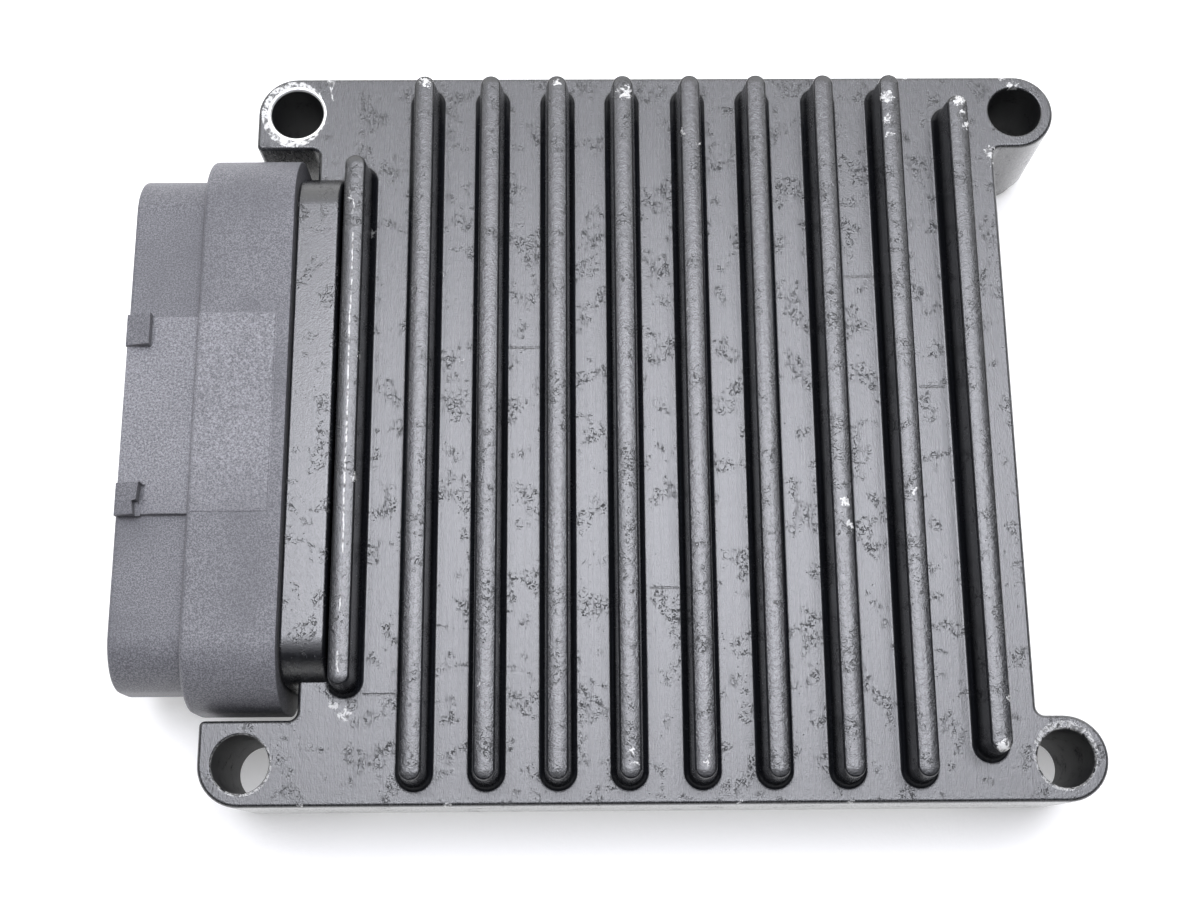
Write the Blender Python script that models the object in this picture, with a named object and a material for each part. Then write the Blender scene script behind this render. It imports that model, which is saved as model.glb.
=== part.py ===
# Engine control unit: a finned die-cast case, a connector header with two sockets and the board inside.
# Units are metres. X runs along the case away from the connector, Y across it, Z up through the fins.
# Places are measured from the middle of the bolt pattern, and one empty then centres the whole unit.

import math

import bmesh
import bpy

# Case
CASE_DEPTH = 0.0255
BOLT_SPAN_X = 0.1425
BOLT_SPAN_Y = 0.1224
UPPER_LEFT_BOLT_INSET = 0.0050
BOLT_HOLE_DIAMETER = 0.0100
BOLT_HOLE_CHAMFER = 0.0004
EAR_RADIUS = 0.0074
RIGHT_BODY_INSET = 0.0046
CONNECTOR_NOTCH_DEPTH = 0.0095
PLATE_THICKNESS = 0.0032
SIDE_WALL = 0.0044
END_WALL = 0.0050
WALL_DRAFT = 0.0002
TOP_EDGE_ROUND = 0.0009
POCKET_CORNER_RADIUS = 0.0100
INNER_FILLET = 0.0016
OUTER_CORNER_RADIUS = 0.0010
FOOT_HEIGHT = 0.0045
FOOT_STEP = 0.0008

# Cooling fins
FIN_PITCH = 0.01247
FIRST_FIN_FROM_NOTCH = 0.0079
LAST_FIN_ROOM = 0.0075
FIN_HEIGHT = 0.0088
FIN_FOOT_WIDTH = 0.0067
FIN_FLANK_WIDTH = 0.0056
FIN_CROWN_WIDTH = 0.0033
FIN_FILLET_HEIGHT = 0.0009
FIN_CROWN_ANGLES = (30, 62)
FIN_END_MARGIN = 0.0021
SHORT_LAST_FIN_CUT = 0.0042
FIRST_FIN_PAST_HOOD = 0.0029

# Hood over the connector
HOOD_TO_EARS = 0.0062
HOOD_RISE = 0.0058
HOOD_LENGTH = 0.0074
HOOD_OVERHANG = 0.0020
HOOD_CORNER_RADIUS = 0.0065
HOOD_WALL = 0.0025
HOOD_EDGE = 0.0007

# Base cover, its seal and its screws
COVER_THICKNESS = 0.0020
COVER_MARGIN = 0.0004
COVER_EDGE = 0.0004
SEAL_GROOVE_WIDTH = 0.0018
SEAL_GROOVE_DEPTH = 0.0015
COVER_BOSS_RADIUS = 0.0042
COVER_SCREW_TO_CORNER = 0.0025
COVER_SCREW_TO_WALL = 0.0029
COVER_SCREW_DIAMETER = 0.0036
COVER_SCREW_LENGTH = 0.0100
COVER_SCREW_HEAD = 0.0066
COVER_SCREW_HEAD_HEIGHT = 0.0016
RIGHT_SCREW_SPACING = 0.0440

# Connector header
NOSE_OUTSIDE_HOOD = 0.0008
NOSE_BELOW_HOOD = 0.0016
NOSE_LENGTH = 0.0131
NOSE_CORNER_RADIUS = 0.0092
NOSE_BOTTOM = 0.0059
COLLAR_STEP = 0.0030
COLLAR_LENGTH = 0.0161
COLLAR_CORNER_RADIUS = 0.0118
HEADER_EDGE = 0.0006
HEADER_WALL = 0.0022
SOCKET_DIVIDER = 0.0040
SOCKET_DEPTH = 0.0235
SOCKET_CORNER_RADIUS = 0.0040
KEY_WIDTH = 0.0016
KEY_HEIGHT = 0.0020
KEY_OFFSET = 0.0110
KEY_SETBACK = 0.0030
PANEL_WIDTH = 0.0366
PANEL_RISE = 0.0011
CATCH_WIDTH = 0.0056
CATCH_LENGTH = 0.0045
CATCH_LOW_RISE = 0.0004
CATCH_HIGH_RISE = 0.0018
NECK_CORNER_RADIUS = 0.0040
SEAL_THICKNESS = 0.0008
SEAL_OVERLAP = 0.0018
FLANGE_THICKNESS = 0.0022
FLANGE_OVERLAP = 0.0054
LUG_LENGTH = 0.0065
LUG_WIDTH = 0.0058
LUG_HEIGHT = 0.0048

# Rear of the header, cored out below the pins
CORE_COUNT = 4
CORE_RIB = 0.0020
CORE_FRONT_WALL = 0.0020
CORE_SIDE_WALL = 0.0024
CORE_FLOOR = 0.0013
CORE_ROOF = 0.0012

# Pins
PIN_PITCH = 0.00254
PIN_SIDE_ROOM = 0.0028
PIN_ROWS_BELOW_PLATE = 0.0045
PIN_ROW_GAP = 0.0050
PIN_WIDTH = 0.00064
PIN_REACH = 0.0120
PIN_TIP = 0.0010
PIN_TAIL = 0.0012
PIN_ROW_SETBACK = 0.00254
BLOCK_MARGIN = 0.0013

# Circuit board and its screws
BOARD_THICKNESS = 0.0016
BOARD_BELOW_PINS = 0.0074
BOARD_END_ROOM = 0.0086
BOARD_SIDE_ROOM = 0.0097
BOARD_CORNER_RADIUS = 0.0015
POST_RADIUS = 0.0035
POST_INSET_LEFT = 0.0130
POST_INSET_RIGHT = 0.0055
POST_INSET_SIDE = 0.0050
BOARD_SCREW_DIAMETER = 0.0024
BOARD_SCREW_LENGTH = 0.0055
BOARD_SCREW_HEAD = 0.0054
BOARD_SCREW_HEAD_HEIGHT = 0.0015

# Parts on the board
CONTROLLER_SIZE = 0.0200
CONTROLLER_HEIGHT = 0.0024
MEMORY_LENGTH = 0.0180
MEMORY_WIDTH = 0.0126
MEMORY_HEIGHT = 0.0026
OUTPUT_DRIVER_LENGTH = 0.0160
OUTPUT_DRIVER_WIDTH = 0.0110
OUTPUT_DRIVER_HEIGHT = 0.0033
OUTPUT_DRIVER_PITCH = 0.0256
PACKAGE_SPACING = 0.0056
POWER_DRIVER_COUNT = 4
POWER_DRIVER_PITCH = 0.0150
POWER_DRIVER_WIDTH = 0.0102
POWER_DRIVER_LENGTH = 0.0092
POWER_DRIVER_HEIGHT = 0.0044
POWER_TAB_WIDTH = 0.0092
POWER_TAB_THICKNESS = 0.0013
POWER_LEAD_PITCH = 0.00255
POWER_LEAD_WIDTH = 0.0008
POWER_LEAD_HEIGHT = 0.0026
THERMAL_PAD_THICKNESS = 0.0006
PEDESTAL_MARGIN = 0.0015
CAPACITOR_COUNT = 3
CAPACITOR_DIAMETER = 0.0100
CAPACITOR_HEIGHT = 0.0086
CAPACITOR_PITCH = 0.0120
CAPACITOR_BASE = 0.0104
CAPACITOR_BASE_HEIGHT = 0.0016
CAPACITOR_BASE_CORNER = 0.0013
CAPACITOR_BEAD = 0.0004
CHOKE_FROM_POST = 0.0059
CHOKE_SIZE = 0.0125
CHOKE_HEIGHT = 0.0070
CHOKE_BASE = 0.0018
CHOKE_RIM = 0.0010
CHOKE_WAIST = 0.0009
CHOKE_CORNER_RADIUS = 0.0022
CRYSTAL_LENGTH = 0.0112
CRYSTAL_WIDTH = 0.0047
CRYSTAL_HEIGHT = 0.0036
CRYSTAL_LIP = 0.0004
CRYSTAL_SPACING = 0.0042
LEAD_THICKNESS = 0.0004
LEAD_REACH = 0.0014

# Shares of a screw's head or shank, and of a chip's side
SCREW_RIM_SHARE = 0.25
SCREW_TIP_SHARE = 0.20
SCREW_RECESS_SHARE = 0.24
SCREW_RECESS_DEPTH_SHARE = 0.60
CHIP_DRAFT_SHARE = 0.08
LEAD_ROW_SHARE = 0.86
LEAD_WIDTH_SHARE = 0.45

# Facets round a full circle
BOLT_FACETS = 20
BOSS_FACETS = 12
SCREW_FACETS = 10
CAN_FACETS = 14

# Clearances
CLEARANCE = 0.0003
SCREW_CLEARANCE = 0.0003
OVERCUT = 0.0020

# Places that follow from the sizes
BOLT_Y = BOLT_SPAN_Y / 2
RIGHT_BOLT_X = (BOLT_SPAN_X - UPPER_LEFT_BOLT_INSET / 2) / 2
LOWER_LEFT_BOLT_X = RIGHT_BOLT_X - BOLT_SPAN_X
UPPER_LEFT_BOLT_X = LOWER_LEFT_BOLT_X + UPPER_LEFT_BOLT_INSET
BOLTS = (
    (UPPER_LEFT_BOLT_X, BOLT_Y),
    (RIGHT_BOLT_X, BOLT_Y),
    (LOWER_LEFT_BOLT_X, -BOLT_Y),
    (RIGHT_BOLT_X, -BOLT_Y),
)
BODY_RIGHT = RIGHT_BOLT_X - RIGHT_BODY_INSET
BODY_LEFT = LOWER_LEFT_BOLT_X + CONNECTOR_NOTCH_DEPTH
BODY_SIDE = BOLT_Y + EAR_RADIUS
NOTCH_SIDE = BOLT_Y - EAR_RADIUS
FIRST_FIN_X = BODY_LEFT + FIRST_FIN_FROM_NOTCH
FIN_COUNT = int((BODY_RIGHT - LAST_FIN_ROOM - FIRST_FIN_X) / FIN_PITCH) + 1
CEILING = CASE_DEPTH - PLATE_THICKNESS
POCKET_LEFT = BODY_LEFT + END_WALL
POCKET_RIGHT = BODY_RIGHT - END_WALL
POCKET_SIDE = BODY_SIDE - SIDE_WALL
HOOD_LEFT = BODY_LEFT - HOOD_OVERHANG
HOOD_RIGHT = HOOD_LEFT + HOOD_LENGTH
HOOD_TOP = CASE_DEPTH + HOOD_RISE
HOOD_HALF = NOTCH_SIDE - HOOD_TO_EARS
COVER_TOP = FOOT_HEIGHT - CLEARANCE
COVER_BOTTOM = COVER_TOP - COVER_THICKNESS
GROOVE_OFFSET = SIDE_WALL / 2 - WALL_DRAFT / 2
NECK_HALF = HOOD_HALF - HOOD_WALL - CLEARANCE
NECK_TOP = HOOD_TOP - HOOD_WALL - CLEARANCE
COLLAR_REAR = HOOD_LEFT - SEAL_THICKNESS - 2 * CLEARANCE
COLLAR_FRONT = COLLAR_REAR - COLLAR_LENGTH
NOSE_FRONT = COLLAR_FRONT - NOSE_LENGTH
NOSE_TOP = HOOD_TOP - NOSE_BELOW_HOOD
NOSE_HALF = HOOD_HALF + NOSE_OUTSIDE_HOOD
SOCKET_FLOOR = NOSE_FRONT + SOCKET_DEPTH
SOCKET_OUTER = NOSE_HALF - HEADER_WALL
SOCKET_CENTRE = (SOCKET_OUTER + SOCKET_DIVIDER / 2) / 2
SOCKET_WIDTH = SOCKET_OUTER - SOCKET_DIVIDER / 2
SOCKET_BOTTOM = NOSE_BOTTOM + HEADER_WALL
SOCKET_TOP = NOSE_TOP - HEADER_WALL
PIN_MIDDLE = CEILING - PIN_ROWS_BELOW_PLATE
PINS_PER_ROW = int((SOCKET_WIDTH - 2 * PIN_SIDE_ROOM) / PIN_PITCH) + 1
FLANGE_LEFT = POCKET_LEFT + CLEARANCE
FLANGE_RIGHT = FLANGE_LEFT + FLANGE_THICKNESS
FLANGE_HALF = NECK_HALF + FLANGE_OVERLAP
BLOCK_HALF_WIDTH = (PINS_PER_ROW - 1) * PIN_PITCH / 2 + PIN_WIDTH / 2 + BLOCK_MARGIN
BLOCK_HALF_HEIGHT = PIN_ROW_GAP / 2 + PIN_WIDTH / 2 + BLOCK_MARGIN
BOARD_LEFT = FLANGE_RIGHT + CLEARANCE
BOARD_RIGHT = POCKET_RIGHT - BOARD_END_ROOM
BOARD_HALF = POCKET_SIDE - BOARD_SIDE_ROOM
BOARD_HEIGHT = PIN_MIDDLE - BOARD_BELOW_PINS
BOARD_TOP = BOARD_HEIGHT + BOARD_THICKNESS
PART_SEAT = BOARD_TOP + CLEARANCE
LUG_HOLE_X = FLANGE_RIGHT + LUG_LENGTH / 2
LUG_Y = FLANGE_HALF - LUG_WIDTH / 2
FIRST_PIN_ROW_X = LUG_HOLE_X - PIN_ROW_SETBACK / 2
POST_LEFT = BOARD_LEFT + POST_INSET_LEFT
POST_RIGHT = BOARD_RIGHT - POST_INSET_RIGHT
POST_Y = BOARD_HALF - POST_INSET_SIDE
POSTS = tuple((x, y) for y in (POST_Y, -POST_Y) for x in (POST_LEFT, POST_RIGHT))
LUG_HOLES = ((LUG_HOLE_X, LUG_Y), (LUG_HOLE_X, -LUG_Y))
CORNER_BOSS = (POCKET_CORNER_RADIUS - COVER_SCREW_TO_CORNER) * math.sqrt(0.5)
CORNER_BOSS_Y = POCKET_SIDE - POCKET_CORNER_RADIUS + CORNER_BOSS
CORNER_BOSS_LEFT = POCKET_LEFT + POCKET_CORNER_RADIUS - CORNER_BOSS
CORNER_BOSS_RIGHT = POCKET_RIGHT - POCKET_CORNER_RADIUS + CORNER_BOSS
COVER_SCREWS = (
    (CORNER_BOSS_LEFT, CORNER_BOSS_Y),
    ((POCKET_LEFT + POCKET_RIGHT) / 2, POCKET_SIDE - COVER_SCREW_TO_WALL),
    (CORNER_BOSS_RIGHT, CORNER_BOSS_Y),
    (POCKET_RIGHT - COVER_SCREW_TO_WALL, RIGHT_SCREW_SPACING / 2),
    (POCKET_RIGHT - COVER_SCREW_TO_WALL, -RIGHT_SCREW_SPACING / 2),
    (CORNER_BOSS_RIGHT, -CORNER_BOSS_Y),
    ((POCKET_LEFT + POCKET_RIGHT) / 2, COVER_SCREW_TO_WALL - POCKET_SIDE),
    (CORNER_BOSS_LEFT, -CORNER_BOSS_Y),
)
POWER_DRIVER_X = POST_RIGHT - POST_RADIUS - POWER_DRIVER_LENGTH / 2
POWER_DRIVER_TOP = PART_SEAT + POWER_DRIVER_HEIGHT
PAD_BOTTOM = POWER_DRIVER_TOP + CLEARANCE
PEDESTAL_BOTTOM = PAD_BOTTOM + THERMAL_PAD_THICKNESS + CLEARANCE
UNIT_CENTRE_X = (RIGHT_BOLT_X + EAR_RADIUS + NOSE_FRONT) / 2


def clear_scene():
    for old in list(bpy.data.objects):
        bpy.data.objects.remove(old, do_unlink=True)


def material(name, colour, roughness, metallic=0.0):
    made = bpy.data.materials.new(name)
    made.use_nodes = True
    shader = made.node_tree.nodes["Principled BSDF"]
    shader.inputs["Base Color"].default_value = (*colour, 1.0)
    shader.inputs["Roughness"].default_value = roughness
    shader.inputs["Metallic"].default_value = metallic
    return made


def mesh_object(name, bm, look=None):
    bmesh.ops.recalc_face_normals(bm, faces=bm.faces)
    mesh = bpy.data.meshes.new(name)
    bm.to_mesh(mesh)
    bm.free()
    made = bpy.data.objects.new(name, mesh)
    bpy.context.scene.collection.objects.link(made)
    if look:
        mesh.materials.append(look)
    return made


# Lofts, the shape behind every solid here: loops of points with equal counts, closed at both ends
def add_loft(bm, loops):
    rings = [[bm.verts.new(point) for point in loop] for loop in loops]
    count = len(rings[0])
    for low, high in zip(rings, rings[1:]):
        for i in range(count):
            j = (i + 1) % count
            bm.faces.new((low[i], low[j], high[j], high[i]))
    bm.faces.new(rings[0][::-1])
    bm.faces.new(rings[-1])


def at_height(outline, z):
    return [(x, y, z) for x, y in outline]


def at_station(section, x):
    return [(x, y, z) for y, z in section]


def add_prism(bm, outline, low, high):
    add_loft(bm, (at_height(outline, low), at_height(outline, high)))


def add_box(bm, x_range, y_range, z_range):
    corners = [(x, y) for x, y in zip((x_range[0], x_range[1], x_range[1], x_range[0]),
                                      (y_range[0], y_range[0], y_range[1], y_range[1]))]
    add_prism(bm, corners, z_range[0], z_range[1])


def add_ring(bm, outer, inner, low, high):
    loops = (at_height(outer, low), at_height(outer, high), at_height(inner, high), at_height(inner, low))
    add_tube(bm, loops)


def add_tube(bm, loops):
    rings = [[bm.verts.new(point) for point in loop] for loop in loops]
    count = len(rings[0])
    for low, high in zip(rings, rings[1:] + rings[:1]):
        for i in range(count):
            j = (i + 1) % count
            bm.faces.new((low[i], low[j], high[j], high[i]))


def arc(x, y, radius, start, end, steps):
    angles = [math.radians(start + (end - start) * i / steps) for i in range(steps + 1)]
    return [(x + radius * math.cos(a), y + radius * math.sin(a)) for a in angles]


def circle(x, y, radius, steps):
    return arc(x, y, radius, 0, 360 - 360 / steps, steps - 1)


def rounded_rectangle(left, right, low, high, radius, steps):
    return (
        arc(left + radius, low + radius, radius, 180, 270, steps)
        + arc(right - radius, low + radius, radius, 270, 360, steps)
        + arc(right - radius, high - radius, radius, 0, 90, steps)
        + arc(left + radius, high - radius, radius, 90, 180, steps)
    )


def stadium(half_length, radius, centre_x, steps):
    straight = half_length - radius
    far_end = arc(centre_x, straight, radius, 0, 180, steps)
    near_end = arc(centre_x, -straight, radius, 180, 360, steps)
    return far_end + near_end


# A quarter round along an edge, as pairs of drop below the face and inset from the side
def rounded_edge(radius, steps):
    turns = [math.radians(90 * i / steps) for i in range(steps + 1)]
    return [(radius - radius * math.sin(turn), radius - radius * math.cos(turn)) for turn in turns]


def fuse(body, tool, operation):
    modifier = body.modifiers.new(operation.lower(), "BOOLEAN")
    modifier.operation = operation
    modifier.solver = "EXACT"
    modifier.object = tool
    bpy.context.view_layer.update()
    shaped = bpy.data.meshes.new_from_object(body.evaluated_get(bpy.context.evaluated_depsgraph_get()))
    body.modifiers.clear()
    body.data = shaped
    bpy.data.objects.remove(tool, do_unlink=True)


def add(body, bm):
    fuse(body, mesh_object("addition", bm), "UNION")


def cut(body, bm):
    fuse(body, mesh_object("cutter", bm), "DIFFERENCE")


def smooth(body, angle=32):
    body.data.shade_smooth()
    body.data.set_sharp_from_angle(angle=math.radians(angle))


# The outline of the casting seen from above, drawn in by an inset for drafts and rounded edges
def case_outline(inset):
    radius = EAR_RADIUS - inset
    notch_side = NOTCH_SIDE + inset
    fillet = INNER_FILLET + inset
    corner = max(OUTER_CORNER_RADIUS - inset, CLEARANCE)
    left = BODY_LEFT + inset
    right = BODY_RIGHT - inset
    lower_left = LOWER_LEFT_BOLT_X - radius
    upper_left = UPPER_LEFT_BOLT_X - radius
    return (
        arc(left - fillet, fillet - notch_side, fillet, 0, -90, 3)
        + arc(lower_left + corner, -notch_side - corner, corner, 90, 180, 2)
        + arc(LOWER_LEFT_BOLT_X, -BOLT_Y, radius, 180, 270, 7)
        + arc(RIGHT_BOLT_X, -BOLT_Y, radius, -90, 90, 14)
        + arc(right + fillet, fillet - notch_side, fillet, -90, -180, 3)
        + arc(right + fillet, notch_side - fillet, fillet, 180, 90, 3)
        + arc(RIGHT_BOLT_X, BOLT_Y, radius, -90, 90, 14)
        + arc(UPPER_LEFT_BOLT_X, BOLT_Y, radius, 90, 180, 7)
        + arc(upper_left + corner, notch_side + corner, corner, 180, 270, 2)
        + arc(left - fillet, notch_side - fillet, fillet, 90, 0, 3)
    )


def pocket_outline(offset):
    return rounded_rectangle(POCKET_LEFT - offset, POCKET_RIGHT + offset, -POCKET_SIDE - offset,
                             POCKET_SIDE + offset, POCKET_CORNER_RADIUS + offset, 5)


# The hood's cross-section, a flat arch that also shapes the opening in it and the header's neck
def arch_section(half, bottom, top, radius, inset, steps=5):
    side = half - inset
    crown = top - inset
    bend = max(radius - inset, CLEARANCE)
    return (
        [(-side, bottom), (side, bottom)]
        + arc(side - bend, crown - bend, bend, 0, 90, steps)
        + arc(bend - side, crown - bend, bend, 90, 180, steps)
    )


def fin_half_length(index):
    if index == 0:
        return HOOD_HALF + FIRST_FIN_PAST_HOOD
    half = BODY_SIDE - FIN_END_MARGIN
    if index == FIN_COUNT - 1:
        return half - SHORT_LAST_FIN_CUT
    return half


# A fin is a stack of stadium outlines: a small fillet, a tapering flank and a round crown
def add_fin(bm, centre_x, half_length):
    crown_radius = FIN_CROWN_WIDTH / 2
    flank_top = FIN_HEIGHT - crown_radius
    levels = [
        (-PLATE_THICKNESS / 2, FIN_FOOT_WIDTH / 2),
        (0.0, FIN_FOOT_WIDTH / 2),
        (FIN_FILLET_HEIGHT / 3, (FIN_FOOT_WIDTH + FIN_FLANK_WIDTH) / 4),
        (FIN_FILLET_HEIGHT, FIN_FLANK_WIDTH / 2),
        (flank_top, crown_radius),
    ]
    for angle in FIN_CROWN_ANGLES:
        turn = math.radians(angle)
        levels.append((flank_top + crown_radius * math.sin(turn), crown_radius * math.cos(turn)))
    straight = half_length - FIN_FOOT_WIDTH / 2
    add_loft(bm, [at_height(stadium(straight + width, width, centre_x, 5), CASE_DEPTH + rise)
                  for rise, width in levels])


def screw_hole(x, y, shank):
    return circle(x, y, shank / 2 + SCREW_CLEARANCE, SCREW_FACETS)


def make_case():
    bm = bmesh.new()
    levels = [(FOOT_HEIGHT, WALL_DRAFT)]
    levels += [(CASE_DEPTH - drop, inset) for drop, inset in rounded_edge(TOP_EDGE_ROUND, 2)]
    add_loft(bm, [at_height(case_outline(inset), z) for z, inset in levels])
    case = mesh_object("housing", bm, material("black_coated_casting", (0.030, 0.032, 0.036), 0.42, 0.1))

    bm = bmesh.new()
    for x, y in BOLTS:
        add_prism(bm, circle(x, y, EAR_RADIUS - FOOT_STEP, BOLT_FACETS), 0.0, FOOT_HEIGHT + OVERCUT)
    add(case, bm)

    bm = bmesh.new()
    hood_stations = (
        (HOOD_LEFT, HOOD_EDGE / 2),
        (HOOD_LEFT + HOOD_EDGE / 2, 0.0),
        (HOOD_RIGHT - HOOD_EDGE, 0.0),
        (HOOD_RIGHT, HOOD_EDGE),
    )
    add_loft(bm, [at_station(arch_section(HOOD_HALF, FOOT_HEIGHT, HOOD_TOP, HOOD_CORNER_RADIUS, inset), x)
                  for x, inset in hood_stations])
    add(case, bm)

    bm = bmesh.new()
    for index in range(FIN_COUNT):
        add_fin(bm, FIRST_FIN_X + index * FIN_PITCH, fin_half_length(index))
    add(case, bm)

    bm = bmesh.new()
    add_prism(bm, pocket_outline(0.0), -OVERCUT, CEILING)
    cut(case, bm)

    bm = bmesh.new()
    opening = arch_section(HOOD_HALF, -OVERCUT, HOOD_TOP, HOOD_CORNER_RADIUS, HOOD_WALL)
    add_loft(bm, (at_station(opening, HOOD_LEFT - OVERCUT), at_station(opening, HOOD_RIGHT - HOOD_WALL)))
    cut(case, bm)

    bm = bmesh.new()
    mouth = HOOD_HALF - HOOD_WALL
    add_box(bm, (HOOD_LEFT - OVERCUT, POCKET_LEFT + OVERCUT), (-mouth, mouth), (-OVERCUT, CEILING))
    cut(case, bm)

    bm = bmesh.new()
    root = CEILING + PLATE_THICKNESS / 2
    for x, y in COVER_SCREWS:
        add_prism(bm, circle(x, y, COVER_BOSS_RADIUS, BOSS_FACETS), FOOT_HEIGHT, root)
    for x, y in POSTS:
        add_prism(bm, circle(x, y, POST_RADIUS, BOSS_FACETS), BOARD_TOP + CLEARANCE, root)
    add(case, bm)

    bm = bmesh.new()
    reach = (POWER_DRIVER_COUNT - 1) * POWER_DRIVER_PITCH / 2 + POWER_DRIVER_WIDTH / 2 + PEDESTAL_MARGIN
    add_box(bm, (POWER_DRIVER_X - POWER_DRIVER_LENGTH / 2, POWER_DRIVER_X + POWER_DRIVER_LENGTH / 2),
            (-reach, reach), (PEDESTAL_BOTTOM, root))
    add(case, bm)

    bm = bmesh.new()
    radius = BOLT_HOLE_DIAMETER / 2
    for x, y in BOLTS:
        add_loft(bm, (
            at_height(circle(x, y, radius, BOLT_FACETS), -OVERCUT),
            at_height(circle(x, y, radius, BOLT_FACETS), CASE_DEPTH - BOLT_HOLE_CHAMFER),
            at_height(circle(x, y, radius + BOLT_HOLE_CHAMFER + OVERCUT, BOLT_FACETS), CASE_DEPTH + OVERCUT),
        ))
    for x, y in COVER_SCREWS:
        top = COVER_BOTTOM + COVER_SCREW_LENGTH + SCREW_CLEARANCE
        add_prism(bm, screw_hole(x, y, COVER_SCREW_DIAMETER), FOOT_HEIGHT - OVERCUT, top)
    for x, y in POSTS:
        top = BOARD_HEIGHT + BOARD_SCREW_LENGTH + SCREW_CLEARANCE
        add_prism(bm, screw_hole(x, y, BOARD_SCREW_DIAMETER), BOARD_TOP - CLEARANCE, top)
    cut(case, bm)

    cut(case, seal_groove())
    smooth(case)
    return case


def seal_groove():
    bm = bmesh.new()
    outer = pocket_outline(GROOVE_OFFSET + SEAL_GROOVE_WIDTH / 2)
    inner = pocket_outline(GROOVE_OFFSET - SEAL_GROOVE_WIDTH / 2)
    add_ring(bm, outer, inner, FOOT_HEIGHT - OVERCUT, FOOT_HEIGHT + SEAL_GROOVE_DEPTH)
    return bm


def make_cover():
    bm = bmesh.new()
    left = BODY_LEFT + COVER_MARGIN
    right = BODY_RIGHT - WALL_DRAFT - COVER_MARGIN
    side = BODY_SIDE - WALL_DRAFT - COVER_MARGIN
    corner = POCKET_CORNER_RADIUS + SIDE_WALL / 2

    def outline(inset):
        return rounded_rectangle(left + inset, right - inset, inset - side, side - inset, corner - inset, 6)

    add_loft(bm, (
        at_height(outline(COVER_EDGE), COVER_BOTTOM),
        at_height(outline(0.0), COVER_BOTTOM + COVER_EDGE),
        at_height(outline(0.0), COVER_TOP),
    ))
    cover = mesh_object("base_cover", bm, material("cover_sheet", (0.42, 0.43, 0.44), 0.45, 1.0))
    bm = bmesh.new()
    for x, y in BOLTS:
        add_prism(bm, circle(x, y, EAR_RADIUS + COVER_MARGIN, BOLT_FACETS), -OVERCUT, CASE_DEPTH)
    for x, y in COVER_SCREWS:
        add_prism(bm, screw_hole(x, y, COVER_SCREW_DIAMETER), -OVERCUT, CASE_DEPTH)
    cut(cover, bm)
    smooth(cover)

    bm = bmesh.new()
    play = SEAL_GROOVE_WIDTH / 2 - CLEARANCE
    add_ring(bm, pocket_outline(GROOVE_OFFSET + play), pocket_outline(GROOVE_OFFSET - play),
             COVER_TOP + CLEARANCE, FOOT_HEIGHT + SEAL_GROOVE_DEPTH - CLEARANCE)
    smooth(mesh_object("cover_seal", bm, material("seal_rubber", (0.02, 0.02, 0.02), 0.8)))


# A screw stands head down with its seat at z = 0: head, shank and a six-sided recess
def screw_mesh(name, shank, length, head, head_height, look):
    bm = bmesh.new()
    rim = head_height * SCREW_RIM_SHARE
    tip = shank * SCREW_TIP_SHARE
    profile = (
        (-head_height, head / 2 - rim),
        (rim - head_height, head / 2),
        (0.0, head / 2),
        (0.0, shank / 2),
        (length - tip, shank / 2),
        (length, shank / 2 - tip),
    )
    add_loft(bm, [at_height(circle(0.0, 0.0, radius, SCREW_FACETS), z) for z, radius in profile])
    made = mesh_object(name, bm, look)
    bm = bmesh.new()
    recess_floor = -head_height * (1 - SCREW_RECESS_DEPTH_SHARE)
    add_prism(bm, circle(0.0, 0.0, head * SCREW_RECESS_SHARE, 6), -head_height - OVERCUT, recess_floor)
    cut(made, bm)
    smooth(made)
    mesh = made.data
    bpy.data.objects.remove(made, do_unlink=True)
    return mesh


def place_screws(base_name, mesh, places, seat):
    for number, (x, y) in enumerate(places, 1):
        made = bpy.data.objects.new(f"{base_name}_{number}", mesh)
        bpy.context.scene.collection.objects.link(made)
        made.location = (x, y, seat)


def make_screws():
    zinc = material("zinc_steel", (0.55, 0.55, 0.52), 0.35, 1.0)
    cover_screw = screw_mesh("cover_screw", COVER_SCREW_DIAMETER, COVER_SCREW_LENGTH,
                             COVER_SCREW_HEAD, COVER_SCREW_HEAD_HEIGHT, zinc)
    place_screws("cover_screw", cover_screw, COVER_SCREWS, COVER_BOTTOM - CLEARANCE)
    board_screw = screw_mesh("board_screw", BOARD_SCREW_DIAMETER, BOARD_SCREW_LENGTH,
                             BOARD_SCREW_HEAD, BOARD_SCREW_HEAD_HEIGHT, zinc)
    seat = BOARD_HEIGHT - CLEARANCE
    place_screws("board_screw", board_screw, POSTS, seat)
    place_screws("header_screw", board_screw, LUG_HOLES, seat)


def header_section(step, inset):
    half = NOSE_HALF + step - inset
    radius = (COLLAR_CORNER_RADIUS if step else NOSE_CORNER_RADIUS) - inset
    return rounded_rectangle(-half, half, NOSE_BOTTOM - step + inset, NOSE_TOP + step - inset, radius, 7)


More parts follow.
